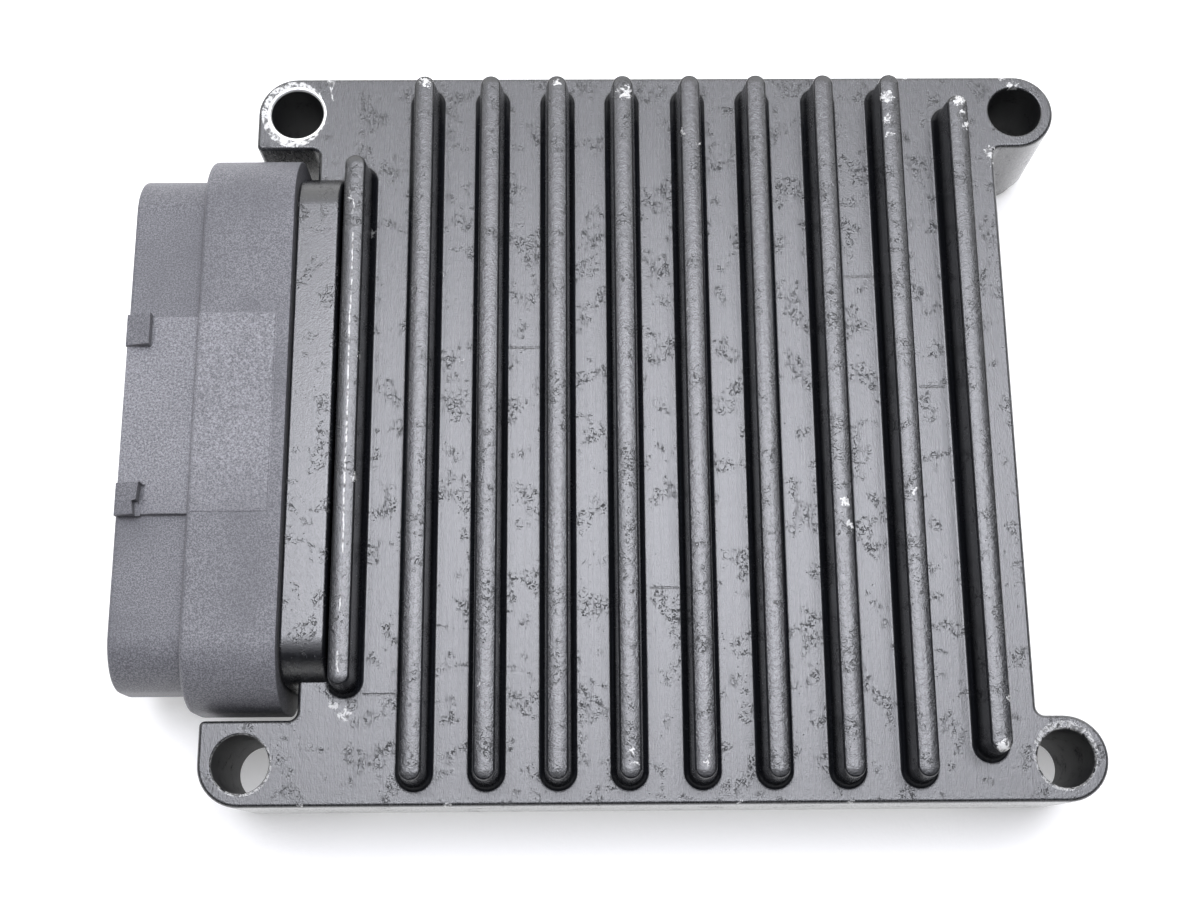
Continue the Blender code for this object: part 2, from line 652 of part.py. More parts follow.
def make_header():
    plastic = material("header_plastic", (0.045, 0.048, 0.052), 0.62)
    bm = bmesh.new()
    stations = (
        (COLLAR_FRONT, HEADER_EDGE),
        (COLLAR_FRONT + HEADER_EDGE, 0.0),
        (COLLAR_REAR - HEADER_EDGE / 2, 0.0),
        (COLLAR_REAR, HEADER_EDGE / 2),
    )
    add_loft(bm, [at_station(header_section(COLLAR_STEP, inset), x) for x, inset in stations])
    header = mesh_object("connector_header", bm, plastic)

    bm = bmesh.new()
    stations = (
        (NOSE_FRONT, HEADER_EDGE),
        (NOSE_FRONT + HEADER_EDGE, 0.0),
        (COLLAR_FRONT + OVERCUT, 0.0),
    )
    add_loft(bm, [at_station(header_section(0.0, inset), x) for x, inset in stations])
    add(header, bm)

    bm = bmesh.new()
    neck = arch_section(NECK_HALF, FOOT_HEIGHT, NECK_TOP, NECK_CORNER_RADIUS, 0.0)
    neck_end = HOOD_RIGHT - HOOD_WALL - CLEARANCE
    add_loft(bm, (at_station(neck, COLLAR_REAR - OVERCUT), at_station(neck, neck_end)))
    add(header, bm)

    bm = bmesh.new()
    shoulder = CEILING - CLEARANCE
    add_box(bm, (COLLAR_REAR - OVERCUT / 2, FLANGE_RIGHT), (-NECK_HALF, NECK_HALF), (FOOT_HEIGHT, shoulder))
    add(header, bm)

    bm = bmesh.new()
    add_box(bm, (FLANGE_LEFT, FLANGE_RIGHT), (-FLANGE_HALF, FLANGE_HALF),
            (BOARD_HEIGHT, shoulder - CLEARANCE))
    add(header, bm)

    bm = bmesh.new()
    for side in (-1, 1):
        low, high = sorted((side * (FLANGE_HALF - LUG_WIDTH), side * FLANGE_HALF))
        add_box(bm, (FLANGE_RIGHT - FLANGE_THICKNESS / 2, FLANGE_RIGHT + LUG_LENGTH), (low, high),
                (PART_SEAT, PART_SEAT + LUG_HEIGHT))
    add(header, bm)

    bm = bmesh.new()
    panel_top = NOSE_TOP + PANEL_RISE
    half = PANEL_WIDTH / 2
    add_box(bm, (NOSE_FRONT + CLEARANCE, COLLAR_FRONT + OVERCUT), (-half, half),
            (NOSE_TOP - OVERCUT / 2, panel_top))
    add(header, bm)

    bm = bmesh.new()
    for side in (-1, 1):
        low, high = sorted((side * (half - CATCH_WIDTH), side * (half + CLEARANCE)))
        wedge = (
            (NOSE_FRONT + CLEARANCE / 2, panel_top - OVERCUT / 4),
            (NOSE_FRONT + CATCH_LENGTH, panel_top - OVERCUT / 4),
            (NOSE_FRONT + CATCH_LENGTH, panel_top + CATCH_HIGH_RISE),
            (NOSE_FRONT + CLEARANCE / 2, panel_top + CATCH_LOW_RISE),
        )
        add_loft(bm, ([(x, low, z) for x, z in wedge], [(x, high, z) for x, z in wedge]))
    add(header, bm)

    bm = bmesh.new()
    for side in (-1, 1):
        low, high = sorted((side * SOCKET_DIVIDER / 2, side * SOCKET_OUTER))
        section = rounded_rectangle(low, high, SOCKET_BOTTOM, SOCKET_TOP, SOCKET_CORNER_RADIUS, 4)
        add_loft(bm, (at_station(section, NOSE_FRONT - OVERCUT), at_station(section, SOCKET_FLOOR)))
    cut(header, bm)

    bm = bmesh.new()
    for side in (-1, 1):
        for offset in (-KEY_OFFSET, KEY_OFFSET):
            middle = side * SOCKET_CENTRE + offset
            add_box(bm, (NOSE_FRONT + KEY_SETBACK, SOCKET_FLOOR + OVERCUT / 2),
                    (middle - KEY_WIDTH / 2, middle + KEY_WIDTH / 2),
                    (SOCKET_TOP - KEY_HEIGHT, SOCKET_TOP + HEADER_WALL / 2))
    add(header, bm)

    bm = bmesh.new()
    wide = BLOCK_HALF_WIDTH + CLEARANCE
    tall = BLOCK_HALF_HEIGHT + CLEARANCE
    for side in (-1, 1):
        middle = side * SOCKET_CENTRE
        add_box(bm, (SOCKET_FLOOR - OVERCUT, FLANGE_RIGHT + OVERCUT), (middle - wide, middle + wide),
                (PIN_MIDDLE - tall, PIN_MIDDLE + tall))
    for x, y in LUG_HOLES:
        top = BOARD_HEIGHT + BOARD_SCREW_LENGTH + SCREW_CLEARANCE
        add_prism(bm, screw_hole(x, y, BOARD_SCREW_DIAMETER), BOARD_TOP, top)
    cut(header, bm)

    bm = bmesh.new()
    core_span = NECK_HALF - CORE_SIDE_WALL
    core_width = (2 * core_span - (CORE_COUNT - 1) * CORE_RIB) / CORE_COUNT
    for index in range(CORE_COUNT):
        low = index * (core_width + CORE_RIB) - core_span
        add_box(bm, (SOCKET_FLOOR + CORE_FRONT_WALL, FLANGE_RIGHT + OVERCUT), (low, low + core_width),
                (FOOT_HEIGHT + SEAL_GROOVE_DEPTH + CORE_FLOOR, PIN_MIDDLE - tall - CORE_ROOF))
    cut(header, bm)

    cut(header, seal_groove())
    smooth(header)

    bm = bmesh.new()
    low = FOOT_HEIGHT - CLEARANCE
    inner = arch_section(NECK_HALF + CLEARANCE, low, NECK_TOP + CLEARANCE,
                         NECK_CORNER_RADIUS + CLEARANCE, 0.0)
    outer = arch_section(NECK_HALF + SEAL_OVERLAP, low - SEAL_OVERLAP / 2, NECK_TOP + SEAL_OVERLAP,
                         NECK_CORNER_RADIUS + SEAL_OVERLAP, 0.0)
    front = COLLAR_REAR + CLEARANCE
    back = front + SEAL_THICKNESS
    add_tube(bm, (at_station(outer, front), at_station(outer, back),
                  at_station(inner, back), at_station(inner, front)))
    smooth(mesh_object("header_seal", bm, material("header_rubber", (0.015, 0.015, 0.016), 0.75)))


# One pin is a square wire: a tapered tip in the socket, a straight run, a bend and a tail through the board
def add_pin(bm, y, z, bend_x):
    half = PIN_WIDTH / 2
    tail_end = BOARD_HEIGHT - PIN_TAIL
    tip = SOCKET_FLOOR - PIN_REACH

    def station(x, low, high, width):
        return [(x, y - width, low), (x, y + width, low), (x, y + width, high), (x, y - width, high)]

    add_loft(bm, (
        station(tip, z - half / 3, z + half / 3, half / 3),
        station(tip + PIN_TIP, z - half, z + half, half),
        [(bend_x - half, y - half, z - half), (bend_x - half, y + half, z - half),
         (bend_x + half, y + half, z + half), (bend_x + half, y - half, z + half)],
        [(bend_x - half, y - half, tail_end), (bend_x - half, y + half, tail_end),
         (bend_x + half, y + half, tail_end), (bend_x + half, y - half, tail_end)],
    ))


def pin_ys(centre):
    return [centre + (i - (PINS_PER_ROW - 1) / 2) * PIN_PITCH for i in range(PINS_PER_ROW)]


def make_pin_blocks():
    look = material("pin_block_plastic", (0.09, 0.09, 0.10), 0.5)
    rows = (
        (PIN_MIDDLE - PIN_ROW_GAP / 2, FIRST_PIN_ROW_X),
        (PIN_MIDDLE + PIN_ROW_GAP / 2, FIRST_PIN_ROW_X + PIN_ROW_SETBACK),
    )
    for name, centre in (("pin_block_a", SOCKET_CENTRE), ("pin_block_b", -SOCKET_CENTRE)):
        bm = bmesh.new()
        add_box(bm, (SOCKET_FLOOR, FLANGE_RIGHT), (centre - BLOCK_HALF_WIDTH, centre + BLOCK_HALF_WIDTH),
                (PIN_MIDDLE - BLOCK_HALF_HEIGHT, PIN_MIDDLE + BLOCK_HALF_HEIGHT))
        block = mesh_object(name, bm, look)
        bm = bmesh.new()
        for z, bend_x in rows:
            for y in pin_ys(centre):
                add_pin(bm, y, z, bend_x)
        add(block, bm)


def make_board():
    bm = bmesh.new()
    outline = rounded_rectangle(BOARD_LEFT, BOARD_RIGHT, -BOARD_HALF, BOARD_HALF, BOARD_CORNER_RADIUS, 3)
    add_prism(bm, outline, BOARD_HEIGHT, BOARD_TOP)
    board = mesh_object("circuit_board", bm, material("board_laminate", (0.03, 0.12, 0.06), 0.4))
    bm = bmesh.new()
    hole = PIN_WIDTH / 2 + CLEARANCE
    for centre in (SOCKET_CENTRE, -SOCKET_CENTRE):
        for x in (FIRST_PIN_ROW_X, FIRST_PIN_ROW_X + PIN_ROW_SETBACK):
            for y in pin_ys(centre):
                add_box(bm, (x - hole, x + hole), (y - hole, y + hole),
                        (BOARD_HEIGHT - OVERCUT, BOARD_TOP + OVERCUT))
    for x, y in POSTS + LUG_HOLES:
        add_prism(bm, screw_hole(x, y, BOARD_SCREW_DIAMETER), BOARD_HEIGHT - OVERCUT, BOARD_TOP + OVERCUT)
    cut(board, bm)


# A lead leaves the package half way up and steps down to the board
def add_lead(bm, root, outward, along, width, height):
    rise = height / 2
    depth = LEAD_THICKNESS
    reach = LEAD_REACH
    side = (
        (-reach / 2, rise),
        (-reach / 2, rise + depth),
        (reach / 2, rise + depth),
        (reach, depth),
        (reach, 0.0),
        (reach / 2, 0.0),
    )

    def loop(shift):
        return [(root[0] + outward[0] * d + along[0] * shift, root[1] + outward[1] * d + along[1] * shift,
                 PART_SEAT + h) for d, h in side]

    add_loft(bm, (loop(-width / 2), loop(width / 2)))


def make_chip(name, x, y, length, width, height, leads_x, leads_y, look):
    bm = bmesh.new()
    stand = LEAD_THICKNESS / 2
    draft = height * CHIP_DRAFT_SHARE
    levels = ((PART_SEAT + stand, draft), (PART_SEAT + height / 2, 0.0), (PART_SEAT + height, draft))
    add_loft(bm, [at_height(
        rounded_rectangle(x - length / 2 + inset, x + length / 2 - inset, y - width / 2 + inset,
                          y + width / 2 - inset, LEAD_THICKNESS, 1), z) for z, inset in levels])
    chip = mesh_object(name, bm, look)
    bm = bmesh.new()
    for sign in (-1, 1):
        for i in range(leads_x):
            pitch = length * LEAD_ROW_SHARE / leads_x
            root = (x + (i - (leads_x - 1) / 2) * pitch, y + sign * width / 2)
            add_lead(bm, root, (0, sign), (1, 0), pitch * LEAD_WIDTH_SHARE, height)
        for i in range(leads_y):
            pitch = width * LEAD_ROW_SHARE / leads_y
            root = (x + sign * length / 2, y + (i - (leads_y - 1) / 2) * pitch)
            add_lead(bm, root, (sign, 0), (0, 1), pitch * LEAD_WIDTH_SHARE, height)
    add(chip, bm)
    return chip


# A power package: moulded body, metal tab to one side and three leads to the other
def make_power_package(name, x, y, look):
    bm = bmesh.new()
    length = POWER_DRIVER_LENGTH
    half = POWER_DRIVER_WIDTH / 2
    tab_half = POWER_TAB_WIDTH / 2
    body_right = x + length / 2 - POWER_TAB_THICKNESS
    add_prism(bm, rounded_rectangle(x - length / 2, body_right, y - half, y + half, LEAD_THICKNESS, 1),
              PART_SEAT, PART_SEAT + POWER_DRIVER_HEIGHT)
    body = mesh_object(name, bm, look)
    bm = bmesh.new()
    add_box(bm, (x, x + length / 2), (y - tab_half, y + tab_half),
            (PART_SEAT + LEAD_THICKNESS / 4, PART_SEAT + POWER_TAB_THICKNESS))
    for shift in (-1, 0, 1):
        root = (x - length / 2, y + shift * POWER_LEAD_PITCH)
        add_lead(bm, root, (-1, 0), (0, 1), POWER_LEAD_WIDTH, POWER_LEAD_HEIGHT)
    add(body, bm)


def make_can(name, x, y, look):
    bm = bmesh.new()
    half = CAPACITOR_BASE / 2
    add_prism(bm, rounded_rectangle(x - half, x + half, y - half, y + half, CAPACITOR_BASE_CORNER, 1),
              PART_SEAT, PART_SEAT + CAPACITOR_BASE_HEIGHT)
    can = mesh_object(name, bm, look)
    bm = bmesh.new()
    radius = CAPACITOR_DIAMETER / 2
    bead = CAPACITOR_BEAD
    top = PART_SEAT + CAPACITOR_HEIGHT
    waist = PART_SEAT + CAPACITOR_BASE_HEIGHT
    profile = (
        (waist - bead, radius - bead),
        (waist + bead * 2, radius),
        (waist + bead * 4, radius),
        (waist + bead * 5, radius - bead),
        (waist + bead * 6, radius),
        (top - bead, radius),
        (top, radius - bead),
    )
    add_loft(bm, [at_height(circle(x, y, r, CAN_FACETS), z) for z, r in profile])
    add(can, bm)
    smooth(can)


def make_parts():
    black = material("package_plastic", (0.025, 0.025, 0.028), 0.5)
    middle_x = (BOARD_LEFT + BOARD_RIGHT) / 2
    row_y = POWER_DRIVER_PITCH * (POWER_DRIVER_COUNT - 1) / 2
    for i in range(POWER_DRIVER_COUNT):
        make_power_package(f"ignition_driver_{i + 1}", POWER_DRIVER_X, row_y - i * POWER_DRIVER_PITCH, black)
    bm = bmesh.new()
    reach = row_y + POWER_DRIVER_WIDTH / 2
    pad_half = POWER_DRIVER_LENGTH / 2 - PEDESTAL_MARGIN
    add_box(bm, (POWER_DRIVER_X - pad_half, POWER_DRIVER_X + pad_half), (-reach, reach),
            (PAD_BOTTOM, PAD_BOTTOM + THERMAL_PAD_THICKNESS))
    mesh_object("thermal_pad", bm, material("pad_silicone", (0.35, 0.42, 0.48), 0.8))

    make_chip("microcontroller", middle_x, 0.0, CONTROLLER_SIZE, CONTROLLER_SIZE, CONTROLLER_HEIGHT,
              9, 9, black)
    memory_y = CONTROLLER_SIZE / 2 + PACKAGE_SPACING + MEMORY_WIDTH / 2
    make_chip("flash_memory", middle_x, memory_y, MEMORY_LENGTH, MEMORY_WIDTH, MEMORY_HEIGHT, 8, 0, black)
    driver_x = middle_x - CONTROLLER_SIZE / 2 - PACKAGE_SPACING - OUTPUT_DRIVER_WIDTH / 2
    for number, sign in ((1, 1), (2, -1)):
        make_chip(f"output_driver_{number}", driver_x, sign * OUTPUT_DRIVER_PITCH / 2, OUTPUT_DRIVER_WIDTH,
                  OUTPUT_DRIVER_LENGTH, OUTPUT_DRIVER_HEIGHT, 0, 6, black)

    can_look = material("capacitor_can", (0.62, 0.62, 0.62), 0.35, 1.0)
    can_y = CAPACITOR_BASE - BOARD_HALF
    choke_x = POST_LEFT + POST_RADIUS + CHOKE_FROM_POST + CHOKE_SIZE / 2
    first_can_x = choke_x + CHOKE_SIZE / 2 + LEAD_REACH + CAPACITOR_BASE / 2
    for i in range(CAPACITOR_COUNT):
        make_can(f"filter_capacitor_{i + 1}", first_can_x + i * CAPACITOR_PITCH, can_y, can_look)

    bm = bmesh.new()
    half = CHOKE_SIZE / 2
    crystal_y = -CONTROLLER_SIZE / 2 - CRYSTAL_SPACING - CRYSTAL_WIDTH / 2
    waist = half - CHOKE_WAIST
    rim = CHOKE_HEIGHT - CHOKE_RIM
    levels = ((0.0, half), (CHOKE_BASE, half), (CHOKE_BASE + CHOKE_WAIST / 2, waist),
              (rim - CHOKE_WAIST / 2, waist), (rim, half), (CHOKE_HEIGHT, half))
    add_loft(bm, [at_height(rounded_rectangle(choke_x - size, choke_x + size, can_y - size, can_y + size,
                                              CHOKE_CORNER_RADIUS, 3), PART_SEAT + z) for z, size in levels])
    smooth(mesh_object("power_choke", bm, material("ferrite", (0.08, 0.08, 0.085), 0.6)))

    bm = bmesh.new()
    long_half = CRYSTAL_LENGTH / 2
    short_half = CRYSTAL_WIDTH / 2
    lip = CRYSTAL_LIP
    levels = ((0.0, 0.0), (lip, 0.0), (lip * 2, lip), (CRYSTAL_HEIGHT - lip, lip), (CRYSTAL_HEIGHT, lip * 2))
    add_loft(bm, [at_height(rounded_rectangle(
        middle_x - long_half + inset, middle_x + long_half - inset, crystal_y - short_half + inset,
        crystal_y + short_half - inset, short_half - inset, 2), PART_SEAT + z) for z, inset in levels])
    smooth(mesh_object("crystal", bm, material("crystal_can", (0.6, 0.6, 0.6), 0.3, 1.0)))

    regulator_y = BOARD_HALF - POWER_DRIVER_WIDTH
    make_power_package("voltage_regulator", middle_x - POWER_DRIVER_PITCH, regulator_y, black)


def main():
    clear_scene()
    make_case()
    make_cover()
    make_header()
    make_pin_blocks()
    make_board()
    make_screws()
    make_parts()
    unit = bpy.data.objects.new("engine_control_unit", None)
    for piece in bpy.context.scene.collection.objects:
        piece.parent = unit
    bpy.context.scene.collection.objects.link(unit)
    unit.location = (-UNIT_CENTRE_X, 0.0, 0.0)
    bpy.context.view_layer.update()


main()
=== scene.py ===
import math

import bmesh
import bpy
from mathutils import Matrix, Vector


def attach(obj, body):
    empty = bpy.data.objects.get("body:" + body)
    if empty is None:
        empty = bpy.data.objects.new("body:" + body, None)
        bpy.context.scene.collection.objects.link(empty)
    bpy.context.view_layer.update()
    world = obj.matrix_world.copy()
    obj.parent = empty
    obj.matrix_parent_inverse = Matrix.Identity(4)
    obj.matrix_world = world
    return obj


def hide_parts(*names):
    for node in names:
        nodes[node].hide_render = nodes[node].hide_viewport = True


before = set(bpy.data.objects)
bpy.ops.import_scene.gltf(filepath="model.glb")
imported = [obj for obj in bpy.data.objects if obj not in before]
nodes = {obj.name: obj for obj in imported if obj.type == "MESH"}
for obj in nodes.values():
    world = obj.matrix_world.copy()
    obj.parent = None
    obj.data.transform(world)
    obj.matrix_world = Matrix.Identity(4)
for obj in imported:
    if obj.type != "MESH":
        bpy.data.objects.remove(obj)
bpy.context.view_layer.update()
print("frame loaded:", len(nodes), "nodes")

# Shapes are made in millimetres and brought to metres when a piece is done.
toMetres = Matrix.Scale(0.001, 4)
weldDistance = 0.0005        # points closer than this, in millimetres, are one


# Mesh helpers

def slide(x=0.0, y=0.0, z=0.0):
    return Matrix.Translation((x, y, z))


def block(bm, low, high):
    size = [b - a for a, b in zip(low, high)]
    middle = [(a + b) / 2 for a, b in zip(low, high)]
    made = bmesh.ops.create_cube(bm, size=1.0, matrix=slide(*middle) @ Matrix.Diagonal((*size, 1.0)))
    return made["verts"]


def rod(bm, x, y, radius, low, high, segments=32):
    matrix = slide(x, y, (low + high) / 2)
    made = bmesh.ops.create_cone(bm, cap_ends=True, segments=segments, radius1=radius, radius2=radius,
                                 depth=high - low, matrix=matrix)
    return made["verts"]


def edgesWhere(bm, test):
    return [edge for edge in bm.edges if all(test(vert.co) for vert in edge.verts)]


def roundEdges(bm, edges, radius, segments=4):
    bmesh.ops.bevel(bm, geom=list(edges), offset=radius, offset_type="OFFSET", affect="EDGES",
                    segments=segments, profile=0.5, material=-1)


def roundCorner(bm, vert, radius, segments):
    bmesh.ops.bevel(bm, geom=[vert], offset=radius, offset_type="ABSOLUTE", affect="VERTICES",
                    segments=segments, profile=0.5, material=-1)


def outlineFace(bm, corners):                               # corners are (point, radius, segments)
    verts = [bm.verts.new(point) for point, radius, segments in corners]
    bm.faces.new(verts)
    for vert, (point, radius, segments) in zip(verts, corners):
        if radius:
            roundCorner(bm, vert, radius * 0.9999, segments)
    bmesh.ops.remove_doubles(bm, verts=bm.verts, dist=0.01)
    return bm.faces[:][-1]


def pushOut(bm, face, way):
    made = bmesh.ops.extrude_face_region(bm, geom=[face])["geom"]
    cap = [item for item in made if isinstance(item, bmesh.types.BMFace)][0]
    bmesh.ops.translate(bm, vec=way, verts=cap.verts)
    bmesh.ops.recalc_face_normals(bm, faces=bm.faces)
    return cap


def stepIn(bm, cap, inset, rise):
    bmesh.ops.inset_region(bm, faces=[cap], thickness=inset, depth=rise, use_even_offset=True)


def closeMesh(name, bm):
    bmesh.ops.remove_doubles(bm, verts=bm.verts, dist=weldDistance)
    bmesh.ops.recalc_face_normals(bm, faces=bm.faces)
    mesh = bpy.data.meshes.new(name)
    bm.to_mesh(mesh)
    bm.free()
    piece = bpy.data.objects.new(name, mesh)
    bpy.context.scene.collection.objects.link(piece)
    return piece


def combine(piece, bm, operation):
    tool = closeMesh("tool", bm)
    step = piece.modifiers.new("step", "BOOLEAN")
    step.operation = operation
    step.solver = "EXACT"
    step.object = tool
    bpy.context.view_layer.update()
    shaped = bpy.data.meshes.new_from_object(piece.evaluated_get(bpy.context.evaluated_depsgraph_get()))
    piece.modifiers.clear()
    piece.data = shaped
    bpy.data.objects.remove(tool, do_unlink=True)


def weld(piece, bm):
    combine(piece, bm, "UNION")


def carve(piece, bm):
    combine(piece, bm, "DIFFERENCE")


# A finished piece comes to metres, gets its finish, and goes to the frame.
def settle(piece, look, replaced, sharp=30):
    mesh = piece.data
    mesh.transform(toMetres)
    mesh.materials.clear()
    mesh.materials.append(look)
    mesh.shade_smooth()
    mesh.set_sharp_from_angle(angle=math.radians(sharp))
    even = piece.modifiers.new("evenShading", "WEIGHTED_NORMAL")
    even.keep_sharp = True
    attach(piece, "root")
    if replaced:
        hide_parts(*replaced)
    print(piece.name, "faces:", len(mesh.polygons))
    return piece


# Node helpers

def newLook(name):
    look = bpy.data.materials.new(name)
    look.use_nodes = True
    tree = look.node_tree
    shader = tree.nodes["Principled BSDF"]
    where = addNode(tree, "ShaderNodeTexCoord").outputs["Object"]
    inMillimetres = addNode(tree, "ShaderNodeMapping", {"Vector": where, "Scale": (1000, 1000, 1000)})
    return look, tree, shader, inMillimetres.outputs["Vector"]


def addNode(tree, kind, values=None, **settings):
    made = tree.nodes.new(kind)
    for key, value in settings.items():
        setattr(made, key, value)
    for key, value in (values or {}).items():
        if isinstance(value, bpy.types.NodeSocket):
            tree.links.new(value, made.inputs[key])
        else:
            made.inputs[key].default_value = value
    return made


def calc(tree, operation, a, b=0.0, clamp=False):
    return addNode(tree, "ShaderNodeMath", {0: a, 1: b}, operation=operation, use_clamp=clamp).outputs[0]


def calcSum(tree, a, b, scale=1.0):                         # a times scale, plus b
    made = addNode(tree, "ShaderNodeMath", {0: a, 1: scale, 2: b}, operation="MULTIPLY_ADD")
    return made.outputs[0]


def vectorMath(tree, operation, values):
    return addNode(tree, "ShaderNodeVectorMath", values, operation=operation).outputs


def stretch(tree, vector, scale):
    return addNode(tree, "ShaderNodeMapping", {"Vector": vector, "Scale": scale}).outputs[0]


def noise(tree, vector, scale, detail=3.0, rough=0.5, warp=0.0):
    return addNode(tree, "ShaderNodeTexNoise", {"Vector": vector, "Scale": scale, "Detail": detail,
                                                "Roughness": rough, "Distortion": warp}).outputs["Fac"]


# low..high becomes fromLow..toHigh, smoothly
def ramp(tree, value, low, high, fromLow=0.0, toHigh=1.0):
    return addNode(tree, "ShaderNodeMapRange", {"Value": value, "From Min": low, "From Max": high,
                                                "To Min": fromLow, "To Max": toHigh},
                   interpolation_type="SMOOTHSTEP").outputs["Result"]


def mixColour(tree, fac, a, b):
    made = addNode(tree, "ShaderNodeMix", data_type="RGBA", clamp_factor=True)
    for index, value in ((0, fac), (6, a), (7, b)):
        if isinstance(value, bpy.types.NodeSocket):
            tree.links.new(value, made.inputs[index])
        elif index:
            made.inputs[index].default_value = (*value, 1.0)
        else:
            made.inputs[index].default_value = value
    return made.outputs[2]


def bump(tree, height, distance, strength=1.0):
    return addNode(tree, "ShaderNodeBump", {"Height": height, "Distance": distance,
                                            "Strength": strength}).outputs["Normal"]


def apart(tree, vector):
    return addNode(tree, "ShaderNodeSeparateXYZ", {"Vector": vector}).outputs


# 1 within radius of a point, fading over soft
def nearPoint(tree, vector, point, radius, soft):
    far = vectorMath(tree, "DISTANCE", {0: vector, 1: point})["Value"]
    return ramp(tree, far, radius + soft, radius)


def highest(tree, values):
    top = values[0]
    for value in values[1:]:
        top = calc(tree, "MAXIMUM", top, value)
    return top


def feed(tree, shader, **links):
    for key, value in links.items():
        socket = shader.inputs[key.replace("_", " ")]
        if isinstance(value, bpy.types.NodeSocket):
            tree.links.new(value, socket)
        elif isinstance(value, tuple):
            socket.default_value = (*value, 1.0)
        else:
            socket.default_value = value


# The casting's black coating, crazed in patches and worn to bare metal where it was handled

coating = {
    "black": (0.0045, 0.0048, 0.0060), "rubbed": (0.011, 0.012, 0.015),
    "metal": (0.62, 0.62, 0.61), "metalDark": (0.17, 0.17, 0.17), "shine": (0.85, 0.85, 0.84),
    "ior": 1.80, "flankIor": 1.42,
    "rough": 0.22, "streakRough": 0.10,
    "roughMore": {"bare": 0.46, "shine": -0.20, "bore": 0.50, "onHood": -0.05, "flank": -0.10, "crown": -0.03,
                  "crazed": 0.45},
    "depths": {"crazed": -0.055, "streaks": 0.008, "grain": 0.050, "torn": 0.030, "tornOnCrown": 0.10},
    "chips": (              # x, y, z and radius of each bare spot, in millimetres
        (-33.2, 63.2, 34.0, 1.2), (3.9, 61.2, 34.2, 1.7), (-8.6, 63.0, 34.2, 0.7), (53.1, 60.0, 34.2, 1.3),
        (52.9, 55.5, 34.2, 0.9), (53.1, 52.4, 34.2, 0.7), (66.5, 59.2, 34.0, 1.3), (67.0, 56.6, 34.2, 0.8),
        (67.4, 54.2, 34.0, 0.7), (14.6, 53.0, 34.0, 0.6), (17.5, 50.6, 33.8, 0.6), (41.6, -17.4, 34.2, 0.9),
        (42.2, -21.6, 34.2, 0.8), (53.8, -15.6, 34.1, 0.6), (-18.2, -40.7, 29.5, 1.0), (-21.7, -48.8, 34.2, 0.4),
        (-29.7, 28.4, 26.0, 0.5), (-26.2, 11.2, 25.5, 0.4), (66.6, -60.1, 34.0, 1.7), (67.8, -51.8, 34.0, 0.5),
        (3.9, -60.0, 34.2, 0.5), (4.4, -62.0, 34.2, 0.5), (16.3, -61.8, 34.2, 0.6), (-47.6, -51.4, 25.5, 0.9),
        (-45.6, -52.8, 25.5, 1.1), (79.0, 66.7, 25.5, 1.2), (73.8, 52.7, 25.3, 1.3), (74.3, 50.4, 25.0, 0.8),
        (-27.5, -68.2, 25.3, 0.7), (22.4, -68.5, 25.2, 0.6), (41.3, -68.3, 25.3, 0.7), (-52.7, -68.3, 25.3, 0.5),
        (76.9, 68.3, 25.3, 0.5), (58.4, 68.3, 25.2, 0.4), (-43.9, -12.6, 33.2, 0.9), (-43.6, 9.8, 33.0, 0.6),
        (-43.2, 36.2, 26.4, 0.8), (-52.3, 68.0, 25.3, 0.6),
    ),
    "rings": (              # centre, radius, share, raggedness and squeeze of the bare metal round the holes
        ((-59.0, 61.1), 6.75, 0.84, 1.2, 1.12), ((-58.4, 61.2), 5.55, 0.97, 0.1, 1.0),
        ((79.0, -60.4), 5.60, 0.60, 1.0, 1.0), ((-63.2, -61.35), 5.30, 0.60, 0.4, 1.0),
        ((78.9, -61.5), 5.20, 0.60, 0.3, 1.0),
    ),
    "shinyRing": 1,         # this one is polished
    "scratches": (          # points in x and y, level, half width and share of the length that shows
        (((-45.72, 33.2), (-45.64, 23.2), (-45.80, 15.4), (-45.62, -0.3), (-45.72, -12.8), (-45.60, -26.0)),
         34.1, 0.064, 0.92),
        (((-45.75, -33.4), (-45.80, -36.0)), 34.1, 0.040, 0.9),
        (((-45.90, -43.2), (-45.95, -45.4), (-45.70, -46.8)), 34.0, 0.088, 0.6),
        (((-46.70, 42.2), (-46.27, 40.2)), 34.0, 0.048, 0.8),
        (((-46.72, 40.1), (-45.80, 39.6), (-45.67, 38.4), (-45.95, 37.0)), 34.0, 0.052, 0.9),
        (((-52.77, 68.2), (-52.12, 66.2), (-51.65, 63.9)), 25.4, 0.052, 0.8),
        (((-51.42, 68.2), (-51.95, 66.4)), 25.4, 0.040, 0.8),
        (((66.0, 58.0), (66.3, 20.0), (66.5, -40.0)), 33.8, 0.040, 0.30),
    ),
    "creases": (            # middle in x, half length and y
        (-39.8, 2.7, 49.4), (-39.8, 2.7, -49.4), (-14.8, 2.7, 13.9), (47.5, 2.7, 27.6), (10.1, 2.4, -31.0),
        (60.0, 2.2, 6.0),
    ),
}


# 1 within half of the line from start to end, in x and y, fading over soft
def nearLine(tree, flat, start, end, half, soft):
    along = Vector(end) - Vector(start)
    away = vectorMath(tree, "SUBTRACT", {0: flat, 1: (*start, 0.0)})["Vector"]
    share = vectorMath(tree, "DOT_PRODUCT", {0: away, 1: (*(along / along.length_squared), 0.0)})["Value"]
    onLine = calc(tree, "ADD", share, 0.0, True)
    foot = vectorMath(tree, "SCALE", {0: (*along, 0.0), "Scale": onLine})["Vector"]
    far = vectorMath(tree, "DISTANCE", {0: away, 1: foot})["Value"]
    return ramp(tree, far, half + soft, half)


